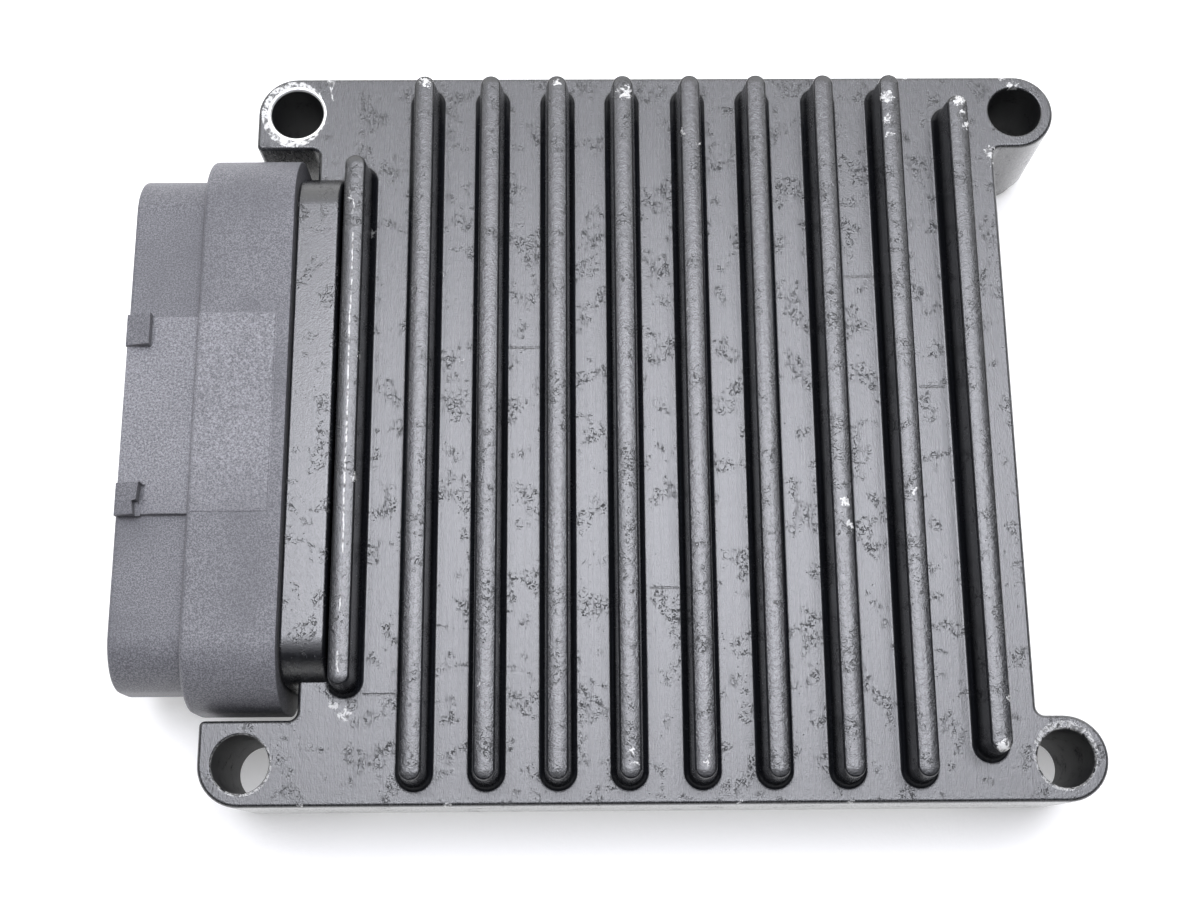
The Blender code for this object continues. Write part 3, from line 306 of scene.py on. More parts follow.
# Bare metal: chips, worn rings round the holes and scratches. The second value is the polished ring.
def bareMetal(tree, place, flat, loose, warp, grain, torn, onPlate):
    z = apart(tree, place)["Z"]
    strongWarp = vectorMath(tree, "SCALE", {0: warp, "Scale": 3.0})["Vector"]
    ragged = vectorMath(tree, "ADD", {0: place, 1: strongWarp})["Vector"]
    chips = [nearPoint(tree, ragged, spot[:3], spot[3] * 0.85, 0.10) for spot in coating["chips"]]
    marks = [calc(tree, "MULTIPLY", highest(tree, chips), ramp(tree, grain, 0.34, 0.42))]

    rings = []
    for (x, y), radius, share, raggedness, squeeze in coating["rings"]:
        squeezed = stretch(tree, flat, (squeeze, 1, 1))
        away = vectorMath(tree, "DISTANCE", {0: squeezed, 1: (x * squeeze, y, 0)})["Value"]
        away = calc(tree, "ADD", away, calc(tree, "MULTIPLY", calc(tree, "SUBTRACT", torn, 0.5), raggedness))
        start = 0.80 - share * 0.6
        worn = calc(tree, "MULTIPLY", ramp(tree, away, radius + 0.12, radius - 0.05),
                    ramp(tree, torn, start, start + 0.04))
        rings.append(calc(tree, "MULTIPLY", worn, onPlate))

    for points, level, half, share in coating["scratches"]:
        parts = [nearLine(tree, loose, a, b, half, 0.12) for a, b in zip(points, points[1:])]
        start = 0.70 - share * 0.5
        near = calc(tree, "MULTIPLY", ramp(tree, z, level - 1.2, level - 0.8),
                    ramp(tree, torn, start, start + 0.06))
        marks.append(calc(tree, "MULTIPLY", highest(tree, parts), near))
    return highest(tree, marks + rings), rings[coating["shinyRing"]]


def makeCoating(name, ior, flank, level):                   # flank is 1 for the painted-shade copies of the coat, on the fins' sides and in the bolt holes
    look, tree, shader, place = newLook(name)
    x, y, z = apart(tree, place)
    grain = noise(tree, place, 3.4, 3.0, 0.65)
    streaks = noise(tree, stretch(tree, place, (2.6, 0.03, 0.5)), 1.0, 2.0, 0.6)
    torn = noise(tree, place, 0.9, 3.0, 0.7, 0.6)
    cloud = noise(tree, place, 0.19, 2.0, 0.65)

    # The crazing: short cracks and pits, in patches
    cracks = calc(tree, "ABSOLUTE", calc(tree, "SUBTRACT", noise(tree, place, 1.35, 1.0, 0.6, 0.8), 0.5))
    patches = calc(tree, "MULTIPLY", ramp(tree, cloud, 0.53, 0.62), ramp(tree, torn, 0.44, 0.54))
    cracks = calc(tree, "MULTIPLY", ramp(tree, cracks, 0.050, 0.015), patches)
    cells = addNode(tree, "ShaderNodeTexVoronoi", {"Vector": place, "Scale": 1.1, "Randomness": 1.0},
                    feature="F1").outputs["Distance"]
    pits = calc(tree, "MULTIPLY", ramp(tree, cells, 0.15, 0.05), ramp(tree, cloud, 0.49, 0.53))
    crazed = highest(tree, [cracks, pits])

    warp = addNode(tree, "ShaderNodeTexNoise", {"Vector": place, "Scale": 1.3, "Detail": 2.0, "Roughness": 0.7})
    warp = vectorMath(tree, "SUBTRACT", {0: warp.outputs["Color"], 1: (0.5, 0.5, 0.5)})["Vector"]
    flat = addNode(tree, "ShaderNodeCombineXYZ", {"X": x, "Y": y, "Z": 0.0}).outputs[0]
    wander = vectorMath(tree, "SCALE", {0: warp, "Scale": 0.36})["Vector"]
    loose = vectorMath(tree, "ADD", {0: flat, 1: wander})["Vector"]
    loose = vectorMath(tree, "MULTIPLY", {0: loose, 1: (1, 1, 0)})["Vector"]
    onPlate = calc(tree, "MULTIPLY", ramp(tree, z, 24.7, 25.1), ramp(tree, z, 26.0, 25.7))
    bare, shine = bareMetal(tree, place, flat, loose, warp, grain, torn, onPlate)

    rubbed = ramp(tree, calc(tree, "MULTIPLY", streaks, grain), 0.20, 0.42)
    paint = mixColour(tree, rubbed, coating["black"], coating["rubbed"])
    metal = mixColour(tree, ramp(tree, torn, 0.44, 0.60), coating["metal"], coating["metalDark"])
    metal = mixColour(tree, shine, metal, coating["shine"])
    feed(tree, shader, Base_Color=mixColour(tree, bare, paint, metal), Metallic=bare, IOR=ior,
         Specular_IOR_Level=level)

    masks = {
        "bare": bare, "shine": shine, "crazed": crazed, "flank": flank,
        "bore": highest(tree, [nearPoint(tree, flat, (*bolt, 0.0), 5.03, 0.03) for bolt in casting["bolts"]]),
        "onHood": calc(tree, "MULTIPLY", ramp(tree, z, 29.0, 30.5), ramp(tree, x, -48.3, -48.6)),
        "crown": calc(tree, "MULTIPLY", ramp(tree, z, 33.3, 33.6), 1.0 - flank),
    }
    rough = calcSum(tree, streaks, coating["rough"], coating["streakRough"])
    for key, more in coating["roughMore"].items():
        rough = calcSum(tree, masks[key], rough, more)
    feed(tree, shader, Roughness=rough)

    creases = highest(tree, [nearLine(tree, loose, (cx - half, cy), (cx + half, cy), 0.03, 0.22)
                             for cx, half, cy in coating["creases"]])
    sunk = highest(tree, [crazed, calc(tree, "MULTIPLY", creases, onPlate)])
    depths = coating["depths"]
    tornDepth = ramp(tree, masks["crown"], 0.0, 1.0, depths["torn"], depths["tornOnCrown"])
    height = calc(tree, "MULTIPLY", sunk, depths["crazed"])
    for part, depth in ((streaks, depths["streaks"]), (grain, depths["grain"]), (torn, tornDepth)):
        height = calcSum(tree, part, height, depth)
    feed(tree, shader, Normal=bump(tree, height, 0.001))
    return look


# The casting

casting = {
    "plateTop": 25.5, "ceiling": 22.3, "wallFoot": 4.5,
    "left": -53.9, "right": 74.5, "side": 68.6, "notchSide": 53.8,
    "earRadius": 7.4, "earCorner": 1.0, "notchFillet": 1.6, "topRound": 0.70,
    "bolts": ((-58.4, 61.2), (79.1, 61.2), (-63.4, -61.2), (79.1, -61.2)),
    "boltRadius": 5.0, "boltLip": 0.4, "footRadius": 6.6,
    "pocketLeft": -48.9, "pocketRight": 69.5, "pocketSide": 64.2, "pocketCorner": 10.0,
    "bossRadius": 4.2, "bossHole": 2.1, "bossHoleTop": 12.5,
    "postRadius": 3.5, "postHole": 1.5, "postLow": 12.3, "postHoleLow": 11.7, "postHoleTop": 16.2,
    "pedestal": ((42.7, -29.1, 17.9), (51.9, 29.1)),
    "grooveMiddle": 2.1, "grooveHalf": 0.9, "grooveDepth": 1.5,
    "overlap": 1.6,         # how far a boss or a fin reaches into the wall it stands on
}
fins = {
    "count": 10, "first": -46.0, "pitch": 12.47, "half": 66.5, "firstHalf": 50.5, "lastHalf": 62.3,
    "nudge": (0.25, 0.21, 0.10, -0.04, -0.24, -0.16, -0.24, -0.11, -0.20, -0.10),
    "foot": 3.62, "coveWidth": 1.20, "coveHeight": 1.3, "knee": 2.22, "kneeHeight": 4.7,
    "shoulder": 1.90, "edge": 0.45, "height": 8.6, "crownRadius": 4.6, "crownSlope": 15,
    # The last two pick the fin faces that get the painted-shade coats: sides steeper than this slope, and the
    # darker copy below this level.
    "shadeSlope": 0.935, "deepShadeBelow": 29.5,
}
hood = {
    "left": -56.55, "right": -48.5, "half": 47.6, "top": 31.3, "corner": 7.8, "wall": 2.5, "edge": 0.9,
}


def caseOutline(bm, z):
    ear, fillet, corner = casting["earRadius"], casting["notchFillet"], casting["earCorner"]
    side, notch = casting["side"], casting["notchSide"]
    upperLeft, upperRight, lowerLeft, lowerRight = [x for x, y in casting["bolts"]]
    points = (
        (upperLeft - ear, side, ear, 12), (upperRight + ear, side, ear, 12), (upperRight + ear, notch, ear, 12),
        (casting["right"], notch, fillet, 6), (casting["right"], -notch, fillet, 6),
        (lowerRight + ear, -notch, ear, 12), (lowerRight + ear, -side, ear, 12),
        (lowerLeft - ear, -side, ear, 12), (lowerLeft - ear, -notch, corner, 5),
        (casting["left"], -notch, fillet, 6), (casting["left"], notch, fillet, 6),
        (upperLeft - ear, notch, corner, 5),
    )
    return outlineFace(bm, [((x, y, z), radius, segments) for x, y, radius, segments in points])


def addFin(bm, x, half):
    segments = 28
    turn = Matrix.Rotation(math.pi / segments, 4, "Z")
    foot, edge, slope = fins["foot"], fins["edge"], math.radians(fins["crownSlope"])
    ring = bmesh.ops.create_circle(bm, cap_ends=True, segments=segments, radius=foot,
                                   matrix=slide(x, 0.0, casting["plateTop"] - casting["overlap"]) @ turn)["verts"]
    for vert in ring:
        vert.co.y += math.copysign(half - foot, vert.co.y)
    cap = pushOut(bm, ring[0].link_faces[0], (0, 0, casting["overlap"]))
    stops = []
    for i in range(1, 7):                                   # the cove at the foot, tangent to the floor
        angle = math.radians(15 * i)
        stops.append((foot - fins["coveWidth"] * math.sin(angle), fins["coveHeight"] * (1 - math.cos(angle))))
    domeHalf = fins["shoulder"] - edge * (1 - math.sin(slope))
    domeDrop = domeHalf ** 2 / (2 * fins["crownRadius"])
    middle = fins["height"] - domeDrop - edge * math.cos(slope)
    stops.append((fins["knee"], fins["kneeHeight"]))
    for i in range(6):                                      # the crown's rounded edge
        angle = (math.pi / 2 - slope) * i / 5
        stops.append((fins["shoulder"] - edge * (1 - math.cos(angle)), middle + edge * math.sin(angle)))
    for share in (0.8, 0.6, 0.4, 0.2):                      # and its dome
        stops.append((domeHalf * share, fins["height"] - domeDrop * share ** 2))
    level, width = 0.0, foot
    for stopWidth, stopLevel in stops:
        stepIn(bm, cap, width - stopWidth, stopLevel - level)
        width, level = stopWidth, stopLevel


def boltCutter(bm, x, y):
    top, radius, lip = casting["plateTop"], casting["boltRadius"], casting["boltLip"]
    ring = bmesh.ops.create_circle(bm, cap_ends=True, segments=64, radius=radius + lip,
                                   matrix=slide(x, y, top + 2))["verts"]
    cap = pushOut(bm, ring[0].link_faces[0], (0, 0, -2))
    width, level = radius + lip, 0.0
    stops = [(radius + lip * (1 - math.sin(math.radians(18 * i))), lip * (1 - math.cos(math.radians(18 * i))))
             for i in range(1, 6)]
    for stopWidth, stopLevel in stops + [(radius, top + 2)]:
        stepIn(bm, cap, width - stopWidth, stopLevel - level)
        width, level = stopWidth, stopLevel


coverScrews = ((-44.3, 59.6), (10.3, 61.3), (64.9, 59.6), (66.6, 22.0), (66.6, -22.0),
               (64.9, -59.6), (10.3, -61.3), (-44.3, -59.6))
boardPosts = ((-33.1, 49.5), (55.4, 49.5), (-33.1, -49.5), (55.4, -49.5))


def pocketFace(bm, offset, z):
    left, right = casting["pocketLeft"] - offset, casting["pocketRight"] + offset
    side, radius = casting["pocketSide"] + offset, casting["pocketCorner"] + offset
    return outlineFace(bm, [((x, y, z), radius, 8) for x, y in
                            ((left, -side), (right, -side), (right, side), (left, side))])


def makeGroove():
    bm = bmesh.new()
    middle, half, below = casting["grooveMiddle"], casting["grooveHalf"], 2
    pushOut(bm, pocketFace(bm, middle + half, casting["wallFoot"] - below), (0, 0, below + casting["grooveDepth"]))
    ring = closeMesh("groove", bm)
    bm = bmesh.new()
    pushOut(bm, pocketFace(bm, middle - half, casting["wallFoot"] - 3), (0, 0, 6))
    carve(ring, bm)
    bm = bmesh.new()
    bm.from_mesh(ring.data)
    bpy.data.objects.remove(ring, do_unlink=True)
    return bm


# Painted shade: the fins' sides and the bolt holes get a copy of the coat that reflects less, and the fins' low
# sides a darker copy still, where shade falls between the fins.
def paintShadeOnFaces(mesh):
    bores = [Vector(bolt) for bolt in casting["bolts"]]
    for face in mesh.polygons:
        x, y, z = face.center * 1000
        onFin = z > casting["plateTop"] + 0.02 and (x > hood["right"] + 0.1 or abs(y) > hood["half"] + 0.9)
        if onFin and face.normal.z < fins["shadeSlope"]:
            face.material_index = 1 if z > fins["deepShadeBelow"] else 2
        fromBore = min((Vector((x, y)) - bore).length for bore in bores)
        if abs(face.normal.z) < 0.5 and fromBore < casting["boltRadius"] + 0.2:
            face.material_index = 1


def makeCasting(look, shadedFlankLook, deepShadeLook):
    foot, top, ceiling = casting["wallFoot"], casting["plateTop"], casting["ceiling"]
    inWall = ceiling + casting["overlap"]
    bm = bmesh.new()
    cap = pushOut(bm, caseOutline(bm, foot), (0, 0, top - foot))
    roundEdges(bm, cap.edges, casting["topRound"], 5)
    piece = closeMesh("castHousing", bm)

    bm = bmesh.new()
    for x, y in casting["bolts"]:
        rod(bm, x, y, casting["footRadius"], 0.0, foot + 1.0, 64)
    weld(piece, bm)

    bm = bmesh.new()
    block(bm, (hood["left"], -hood["half"], foot), (hood["right"], hood["half"], hood["top"]))
    shoulders = edgesWhere(bm, lambda c: abs(c.z - hood["top"]) < 0.01)
    roundEdges(bm, [e for e in shoulders if abs(e.verts[0].co.x - e.verts[1].co.x) > 1], hood["corner"], 12)
    rightRim = edgesWhere(bm, lambda c: abs(c.x - hood["right"]) < 0.01 and c.z > foot + 1)
    leftRim = edgesWhere(bm, lambda c: abs(c.x - hood["left"]) < 0.01 and c.z > foot + 1)
    roundEdges(bm, rightRim, hood["edge"], 4)
    roundEdges(bm, leftRim, hood["edge"] * 0.6, 3)
    weld(piece, bm)

    bm = bmesh.new()
    for i in range(fins["count"]):
        half = fins["firstHalf"] if i == 0 else fins["lastHalf"] if i == fins["count"] - 1 else fins["half"]
        addFin(bm, fins["first"] + i * fins["pitch"] + fins["nudge"][i], half)
    weld(piece, bm)

    bm = bmesh.new()
    pushOut(bm, pocketFace(bm, 0.0, -2.0), (0, 0, ceiling + 2))
    carve(piece, bm)
    mouth = hood["half"] - hood["wall"]
    bm = bmesh.new()
    block(bm, (hood["left"] - 2, -mouth, -2), (hood["right"] - hood["wall"], mouth, hood["top"] - hood["wall"]))
    inner = edgesWhere(bm, lambda c: c.z > hood["top"] - hood["wall"] - 0.01)
    roundEdges(bm, [e for e in inner if abs(e.verts[0].co.x - e.verts[1].co.x) > 1],
               hood["corner"] - hood["wall"], 8)
    carve(piece, bm)
    bm = bmesh.new()
    block(bm, (hood["left"] - 2, -mouth, -2), (casting["pocketLeft"] + 2, mouth, ceiling))
    carve(piece, bm)

    bm = bmesh.new()
    for x, y in coverScrews:
        rod(bm, x, y, casting["bossRadius"], foot, inWall)
    for x, y in boardPosts:
        rod(bm, x, y, casting["postRadius"], casting["postLow"], inWall)
    weld(piece, bm)
    bm = bmesh.new()
    block(bm, casting["pedestal"][0], (*casting["pedestal"][1], inWall))
    weld(piece, bm)

    bm = bmesh.new()
    for x, y in casting["bolts"]:
        boltCutter(bm, x, y)
    for x, y in coverScrews:
        rod(bm, x, y, casting["bossHole"], foot - 2, casting["bossHoleTop"])
    for x, y in boardPosts:
        rod(bm, x, y, casting["postHole"], casting["postHoleLow"], casting["postHoleTop"])
    carve(piece, bm)
    carve(piece, makeGroove())
    settle(piece, look, ["housing"])
    # Painted shade: darker copies of the coat go on the fins' sides, their low sides and the bolt holes
    piece.data.materials.append(shadedFlankLook)
    piece.data.materials.append(deepShadeLook)
    paintShadeOnFaces(piece.data)
    return piece


# The plug header

header = {
    "noseFront": -86.5, "collarFront": -73.4, "collarRear": -56.8,
    "noseHalf": 48.4, "collarHalf": 52.1, "noseLow": 5.9, "noseHigh": 29.7, "noseCorner": 9.2, "noseEdge": 0.7,
    "collarStep": 3.0, "collarCorner": 11.8, "collarEdge": 0.9, "rearEdge": 0.15,
    "neckHalf": 44.8, "neckLow": 4.5, "neckTop": 28.5, "neckCorner": 4.0, "neckEnd": -51.3,
    "shelfTop": 22.0, "shelfRear": -46.4,
    "flange": ((-48.6, -50.2, 10.4), (-46.4, 50.2, 21.7)),
    "foot": (-47.5, -39.9), "footSide": (44.4, 50.2), "footLevel": (12.3, 17.1),
    "footHole": (-43.15, 47.3), "footHoleRadius": 1.5, "footHoleLevel": (12.0, 16.2),
    "panelHalf": 18.3, "panelRise": 1.1, "panelEdge": 0.25,
    "collarPanelRight": -59.3, "collarPanelRise": 0.12, "collarPanelEdge": 0.08,
    "catchWidth": 5.6, "catchLength": 4.5, "catchLow": 0.4, "catchHigh": 1.8, "catchEdge": 0.18,
    "breaks": (             # low corner, high corner, pivot and turn of what the lower catch has lost
        ((-83.1, -19.4, 30.6), (-80.9, -16.1, 33.8), (-83.1, -16.1), 9),
        ((-82.05, -16.6, 30.2), (-81.2, -12.9, 33.8), (-82.05, -12.9), -5),
    ),
    "ridge": ((-59.25, -25.0), (-58.95, 27.0)), "ridgeDrop": 0.06, "ridgeEdge": 0.05,
    "socketFloor": -63.0, "wall": 2.2, "divider": 4.0, "socketCorner": 4.0,
    "keys": (-11.0, 11.0), "keyHalf": 0.8, "keyTop": 1.1,
    "pinRoomHalf": 20.97, "pinRoom": (13.38, 22.22), "rear": -44.4,
    "ribs": 2.0, "ribRooms": 4, "ribMargin": 2.4, "ribRoom": (7.3, 12.18),
}


def crossFace(bm, x, half, low, high, radius, segments=12, topOnly=False):
    below = 0.0 if topOnly else radius
    return outlineFace(bm, (((x, -half, low), below, segments), ((x, half, low), below, segments),
                            ((x, half, high), radius, segments), ((x, -half, high), radius, segments)))


def addShell(h):                                            # collar, nose, neck, flange and screw feet
    step, rear = h["collarStep"], h["collarRear"]
    bm = bmesh.new()
    cap = pushOut(bm, crossFace(bm, rear, h["collarHalf"], h["noseLow"] - step, h["noseHigh"] + step,
                                h["collarCorner"]), (h["collarFront"] - rear, 0, 0))
    rearEdges = edgesWhere(bm, lambda c: abs(c.x - rear) < 0.01)
    roundEdges(bm, cap.edges, h["collarEdge"], 5)
    roundEdges(bm, [e for e in rearEdges if e.is_valid], h["rearEdge"], 3)
    piece = closeMesh("plugHeader", bm)

    bm = bmesh.new()
    cap = pushOut(bm, crossFace(bm, h["collarFront"] + 2, h["noseHalf"], h["noseLow"], h["noseHigh"],
                                h["noseCorner"]), (h["noseFront"] - h["collarFront"] - 2, 0, 0))
    roundEdges(bm, cap.edges, h["noseEdge"], 4)
    weld(piece, bm)

    bm = bmesh.new()
    pushOut(bm, crossFace(bm, rear - 2, h["neckHalf"], h["neckLow"], h["neckTop"], h["neckCorner"], 8, True),
            (h["neckEnd"] - rear + 2, 0, 0))
    weld(piece, bm)
    bm = bmesh.new()
    block(bm, (rear - 1, -h["neckHalf"], h["neckLow"]), (h["shelfRear"], h["neckHalf"], h["shelfTop"]))
    weld(piece, bm)
    bm = bmesh.new()
    block(bm, *h["flange"])
    weld(piece, bm)
    bm = bmesh.new()
    for side in (1, -1):
        low, high = sorted(side * edge for edge in h["footSide"])
        block(bm, (h["foot"][0], low, h["footLevel"][0]), (h["foot"][1], high, h["footLevel"][1]))
    weld(piece, bm)
    return piece


def addPanel(piece, h):                                     # the raised middle of nose and collar, with its catches
    top, half = h["noseHigh"] + h["panelRise"], h["panelHalf"]
    collarTop = h["noseHigh"] + h["collarStep"] + h["collarPanelRise"]
    bm = bmesh.new()
    block(bm, (h["noseFront"] + 0.3, -half, h["noseHigh"] - 1), (h["collarFront"] + 2, half, top))
    roundEdges(bm, edgesWhere(bm, lambda c: c.z > top - 0.01), h["panelEdge"], 3)
    weld(piece, bm)
    bm = bmesh.new()
    block(bm, (h["collarFront"] + 0.75, -half, collarTop - 1), (h["collarPanelRight"], half, collarTop))
    roundEdges(bm, edgesWhere(bm, lambda c: c.z > collarTop - 0.01), h["collarPanelEdge"], 2)
    weld(piece, bm)

    bm = bmesh.new()
    front = h["noseFront"] + 0.15
    for side in (-1, 1):
        low, high = sorted((side * (half - h["catchWidth"]), side * (half + 0.3)))
        verts = block(bm, (front, low, top - 0.5), (front + h["catchLength"], high, top + h["catchHigh"]))
        for vert in verts:
            if vert.co.z > top and vert.co.x < front + 0.1:
                vert.co.z = top + h["catchLow"]
    roundEdges(bm, edgesWhere(bm, lambda c: c.z > top + 0.1), h["catchEdge"], 3)
    weld(piece, bm)
    for low, high, pivot, degrees in h["breaks"]:
        bm = bmesh.new()
        verts = block(bm, low, high)
        bmesh.ops.rotate(bm, cent=(*pivot, top), matrix=Matrix.Rotation(math.radians(degrees), 3, "Z"), verts=verts)
        carve(piece, bm)

    bm = bmesh.new()                                        # a ridge along the collar, near its rear
    low, high = h["ridge"]
    block(bm, (*low, collarTop - 0.5), (*high, collarTop - h["ridgeDrop"]))
    roundEdges(bm, edgesWhere(bm, lambda c: c.z > collarTop - 0.1), h["ridgeEdge"], 2)
    weld(piece, bm)


def hollow(piece, h):                                       # sockets with their keys, and the rooms behind them
    outer, inner = h["noseHalf"] - h["wall"], h["divider"] / 2
    low, high = h["noseLow"] + h["wall"], h["noseHigh"] - h["wall"]
    centre, width = (outer + inner) / 2, (outer - inner) / 2
    for side in (-1, 1):
        bm = bmesh.new()
        pushOut(bm, crossFace(bm, h["noseFront"] - 2, width, low, high, h["socketCorner"], 8),
                (h["socketFloor"] - h["noseFront"] + 2, 0, 0))
        bmesh.ops.translate(bm, vec=(0, side * centre, 0), verts=bm.verts)
        carve(piece, bm)

    bm = bmesh.new()
    for side in (-1, 1):
        for offset in h["keys"]:
            middle = side * centre + offset
            block(bm, (h["noseFront"] + 3, middle - h["keyHalf"], high - 2),
                  (h["socketFloor"] + 1, middle + h["keyHalf"], high + h["keyTop"]))
    weld(piece, bm)

    bm = bmesh.new()
    for side in (-1, 1):
        block(bm, (h["socketFloor"] - 2, side * centre - h["pinRoomHalf"], h["pinRoom"][0]),
              (h["rear"], side * centre + h["pinRoomHalf"], h["pinRoom"][1]))
    holeX, holeY = h["footHole"]
    for y in (holeY, -holeY):
        rod(bm, holeX, y, h["footHoleRadius"], *h["footHoleLevel"])
    carve(piece, bm)
    bm = bmesh.new()
    span, rib, count = h["neckHalf"] - h["ribMargin"], h["ribs"], h["ribRooms"]
    width = (2 * span - (count - 1) * rib) / count
    for i in range(count):
        start = i * (width + rib) - span
        block(bm, (h["socketFloor"] + 2, start, h["ribRoom"][0]), (h["rear"], start + width, h["ribRoom"][1]))
    carve(piece, bm)
    carve(piece, makeGroove())


def makeHeader(look):
    piece = addShell(header)
    addPanel(piece, header)
    hollow(piece, header)
    return settle(piece, look, ["connector_header"])


headerPlastic = {
    "dark": (0.068, 0.068, 0.077), "dust": (0.24, 0.24, 0.255), "speck": (0.30, 0.30, 0.32),
    "dustShare": 0.72, "speckShare": 0.80,
    "rough": 0.50, "fineRough": 0.12, "panelRough": -0.08, "depth": 0.045, "panelDepth": 0.12,
}


def makeHeaderPlastic():
    values = headerPlastic
    look, tree, shader, place = newLook("headerPlastic")
    x, y, z = apart(tree, place)
    grain = noise(tree, place, 2.6, 4.0, 0.75)
    fine = noise(tree, place, 3.6, 3.0, 0.8)
    cloud = noise(tree, place, 0.06, 3.0, 0.5)

    # The raised panel is rubbed lighter, but not the catches at its front corners
    off = calc(tree, "ABSOLUTE", y)
    panel = calc(tree, "MULTIPLY", calc(tree, "MULTIPLY", ramp(tree, off, 18.6, 18.2), ramp(tree, z, 30.2, 30.6)),
                 ramp(tree, x, -58.9, -59.2))
    catch = calc(tree, "MULTIPLY", ramp(tree, off, 12.55, 12.75), ramp(tree, x, -81.5, -82.0))
    panel = calc(tree, "MULTIPLY", panel, calc(tree, "SUBTRACT", 1.0, catch))
    speck = calc(tree, "MULTIPLY", panel, ramp(tree, grain, 0.40, 0.66))
    speck = calc(tree, "MULTIPLY", speck, ramp(tree, y, -20.0, -6.0, 0.45))
    dust = calc(tree, "MULTIPLY", ramp(tree, fine, 0.40, 0.64), ramp(tree, cloud, 0.30, 0.60, 0.5))
    colour = mixColour(tree, calc(tree, "MULTIPLY", dust, values["dustShare"]), values["dark"], values["dust"])
    colour = mixColour(tree, calc(tree, "MULTIPLY", speck, values["speckShare"]), colour, values["speck"])
    rough = calcSum(tree, fine, values["rough"], values["fineRough"])
    rough = calcSum(tree, panel, rough, values["panelRough"])
    depth = ramp(tree, panel, 0.0, 1.0, values["depth"], values["panelDepth"])
    feed(tree, shader, Base_Color=colour, IOR=1.5, Roughness=rough,
         Normal=bump(tree, calc(tree, "MULTIPLY", fine, depth), 0.001))
    return look


# Pins: square wires with a tapered tip and a rounded bend, each in a raised seat of its block

pins = {
    "pitch": 2.54, "perRow": 16, "half": 0.32, "tip": -75.0, "taper": 1.0, "bend": 0.9, "tail": 9.2,
    "rows": ((15.3, -44.42), (20.3, -41.88)), "centre": 24.1,
    "block": (-63.0, -46.4), "blockHalf": 20.67, "blockLow": 13.68, "blockHigh": 21.92, "blockEdge": 0.25,
    "seat": 0.35, "seatHalf": 0.85, "seatEdge": 0.18,
}


def addWire(bm, y, z, bendX):
    half, radius = pins["half"], pins["bend"]
    stations = [(Vector((pins["tip"], y, z)), 0.0, half * 0.35),
                (Vector((pins["tip"] + pins["taper"], y, z)), 0.0, half)]
    for i in range(5):                                      # the bend, a quarter turn
        angle = math.radians(22.5 * i)
        place = Vector((bendX - radius + radius * math.sin(angle), y, z - radius + radius * math.cos(angle)))
        stations.append((place, angle, half))
    stations.append((Vector((bendX, y, pins["tail"] + 0.5)), math.pi / 2, half))
    stations.append((Vector((bendX, y, pins["tail"])), math.pi / 2, half * 0.6))
    rings = []
    for place, angle, wide in stations:
        across = Vector((math.sin(angle), 0, math.cos(angle))) * wide
        side = Vector((0, wide, 0))
        rings.append([bm.verts.new(place + a * side + b * across)
                      for a, b in ((-1, -1), (1, -1), (1, 1), (-1, 1))])
    for start, end in zip(rings, rings[1:]):
        for k in range(4):
            bm.faces.new((start[k], start[k - 1], end[k - 1], end[k]))
    bm.faces.new(rings[0])
    bm.faces.new(rings[-1])


def makePins(plastic, metal):
    for side, node in ((1, "pin_block_a"), (-1, "pin_block_b")):
        centre, (blockFront, blockRear) = side * pins["centre"], pins["block"]
        places = [(centre + (i - (pins["perRow"] - 1) / 2) * pins["pitch"], z, bendX)
                  for z, bendX in pins["rows"] for i in range(pins["perRow"])]
        bm = bmesh.new()
        block(bm, (blockFront, centre - pins["blockHalf"], pins["blockLow"]),
              (blockRear, centre + pins["blockHalf"], pins["blockHigh"]))
        roundEdges(bm, bm.edges[:], pins["blockEdge"], 3)
        for y, z, bendX in places:
            half, seatFront = pins["seatHalf"], blockFront - pins["seat"]
            seat = bmesh.new()
            block(seat, (seatFront, y - half, z - half), (blockFront + 0.2, y + half, z + half))
            roundEdges(seat, edgesWhere(seat, lambda c: c.x < seatFront + 0.01), pins["seatEdge"], 2)
            flake = bpy.data.meshes.new("seat")
            seat.to_mesh(flake)
            seat.free()
            bm.from_mesh(flake)
            bpy.data.meshes.remove(flake)
        letter = node[-1].upper()
        settle(closeMesh("pinCarrier" + letter, bm), plastic, [node])
        bm = bmesh.new()
        for y, z, bendX in places:
            addWire(bm, y, z, bendX)
        settle(closeMesh("pinField" + letter, bm), metal, [], 50)


# Cover screws: pan heads with a six-lobed recess

screws = {
    "seat": 1.9, "head": 3.3, "headHeight": 1.6, "rim": 0.2, "dome": 1.3, "shank": 1.8, "length": 10.0,
    "lobe": 1.35, "lobeDepth": 0.24, "recess": 1.0,
}


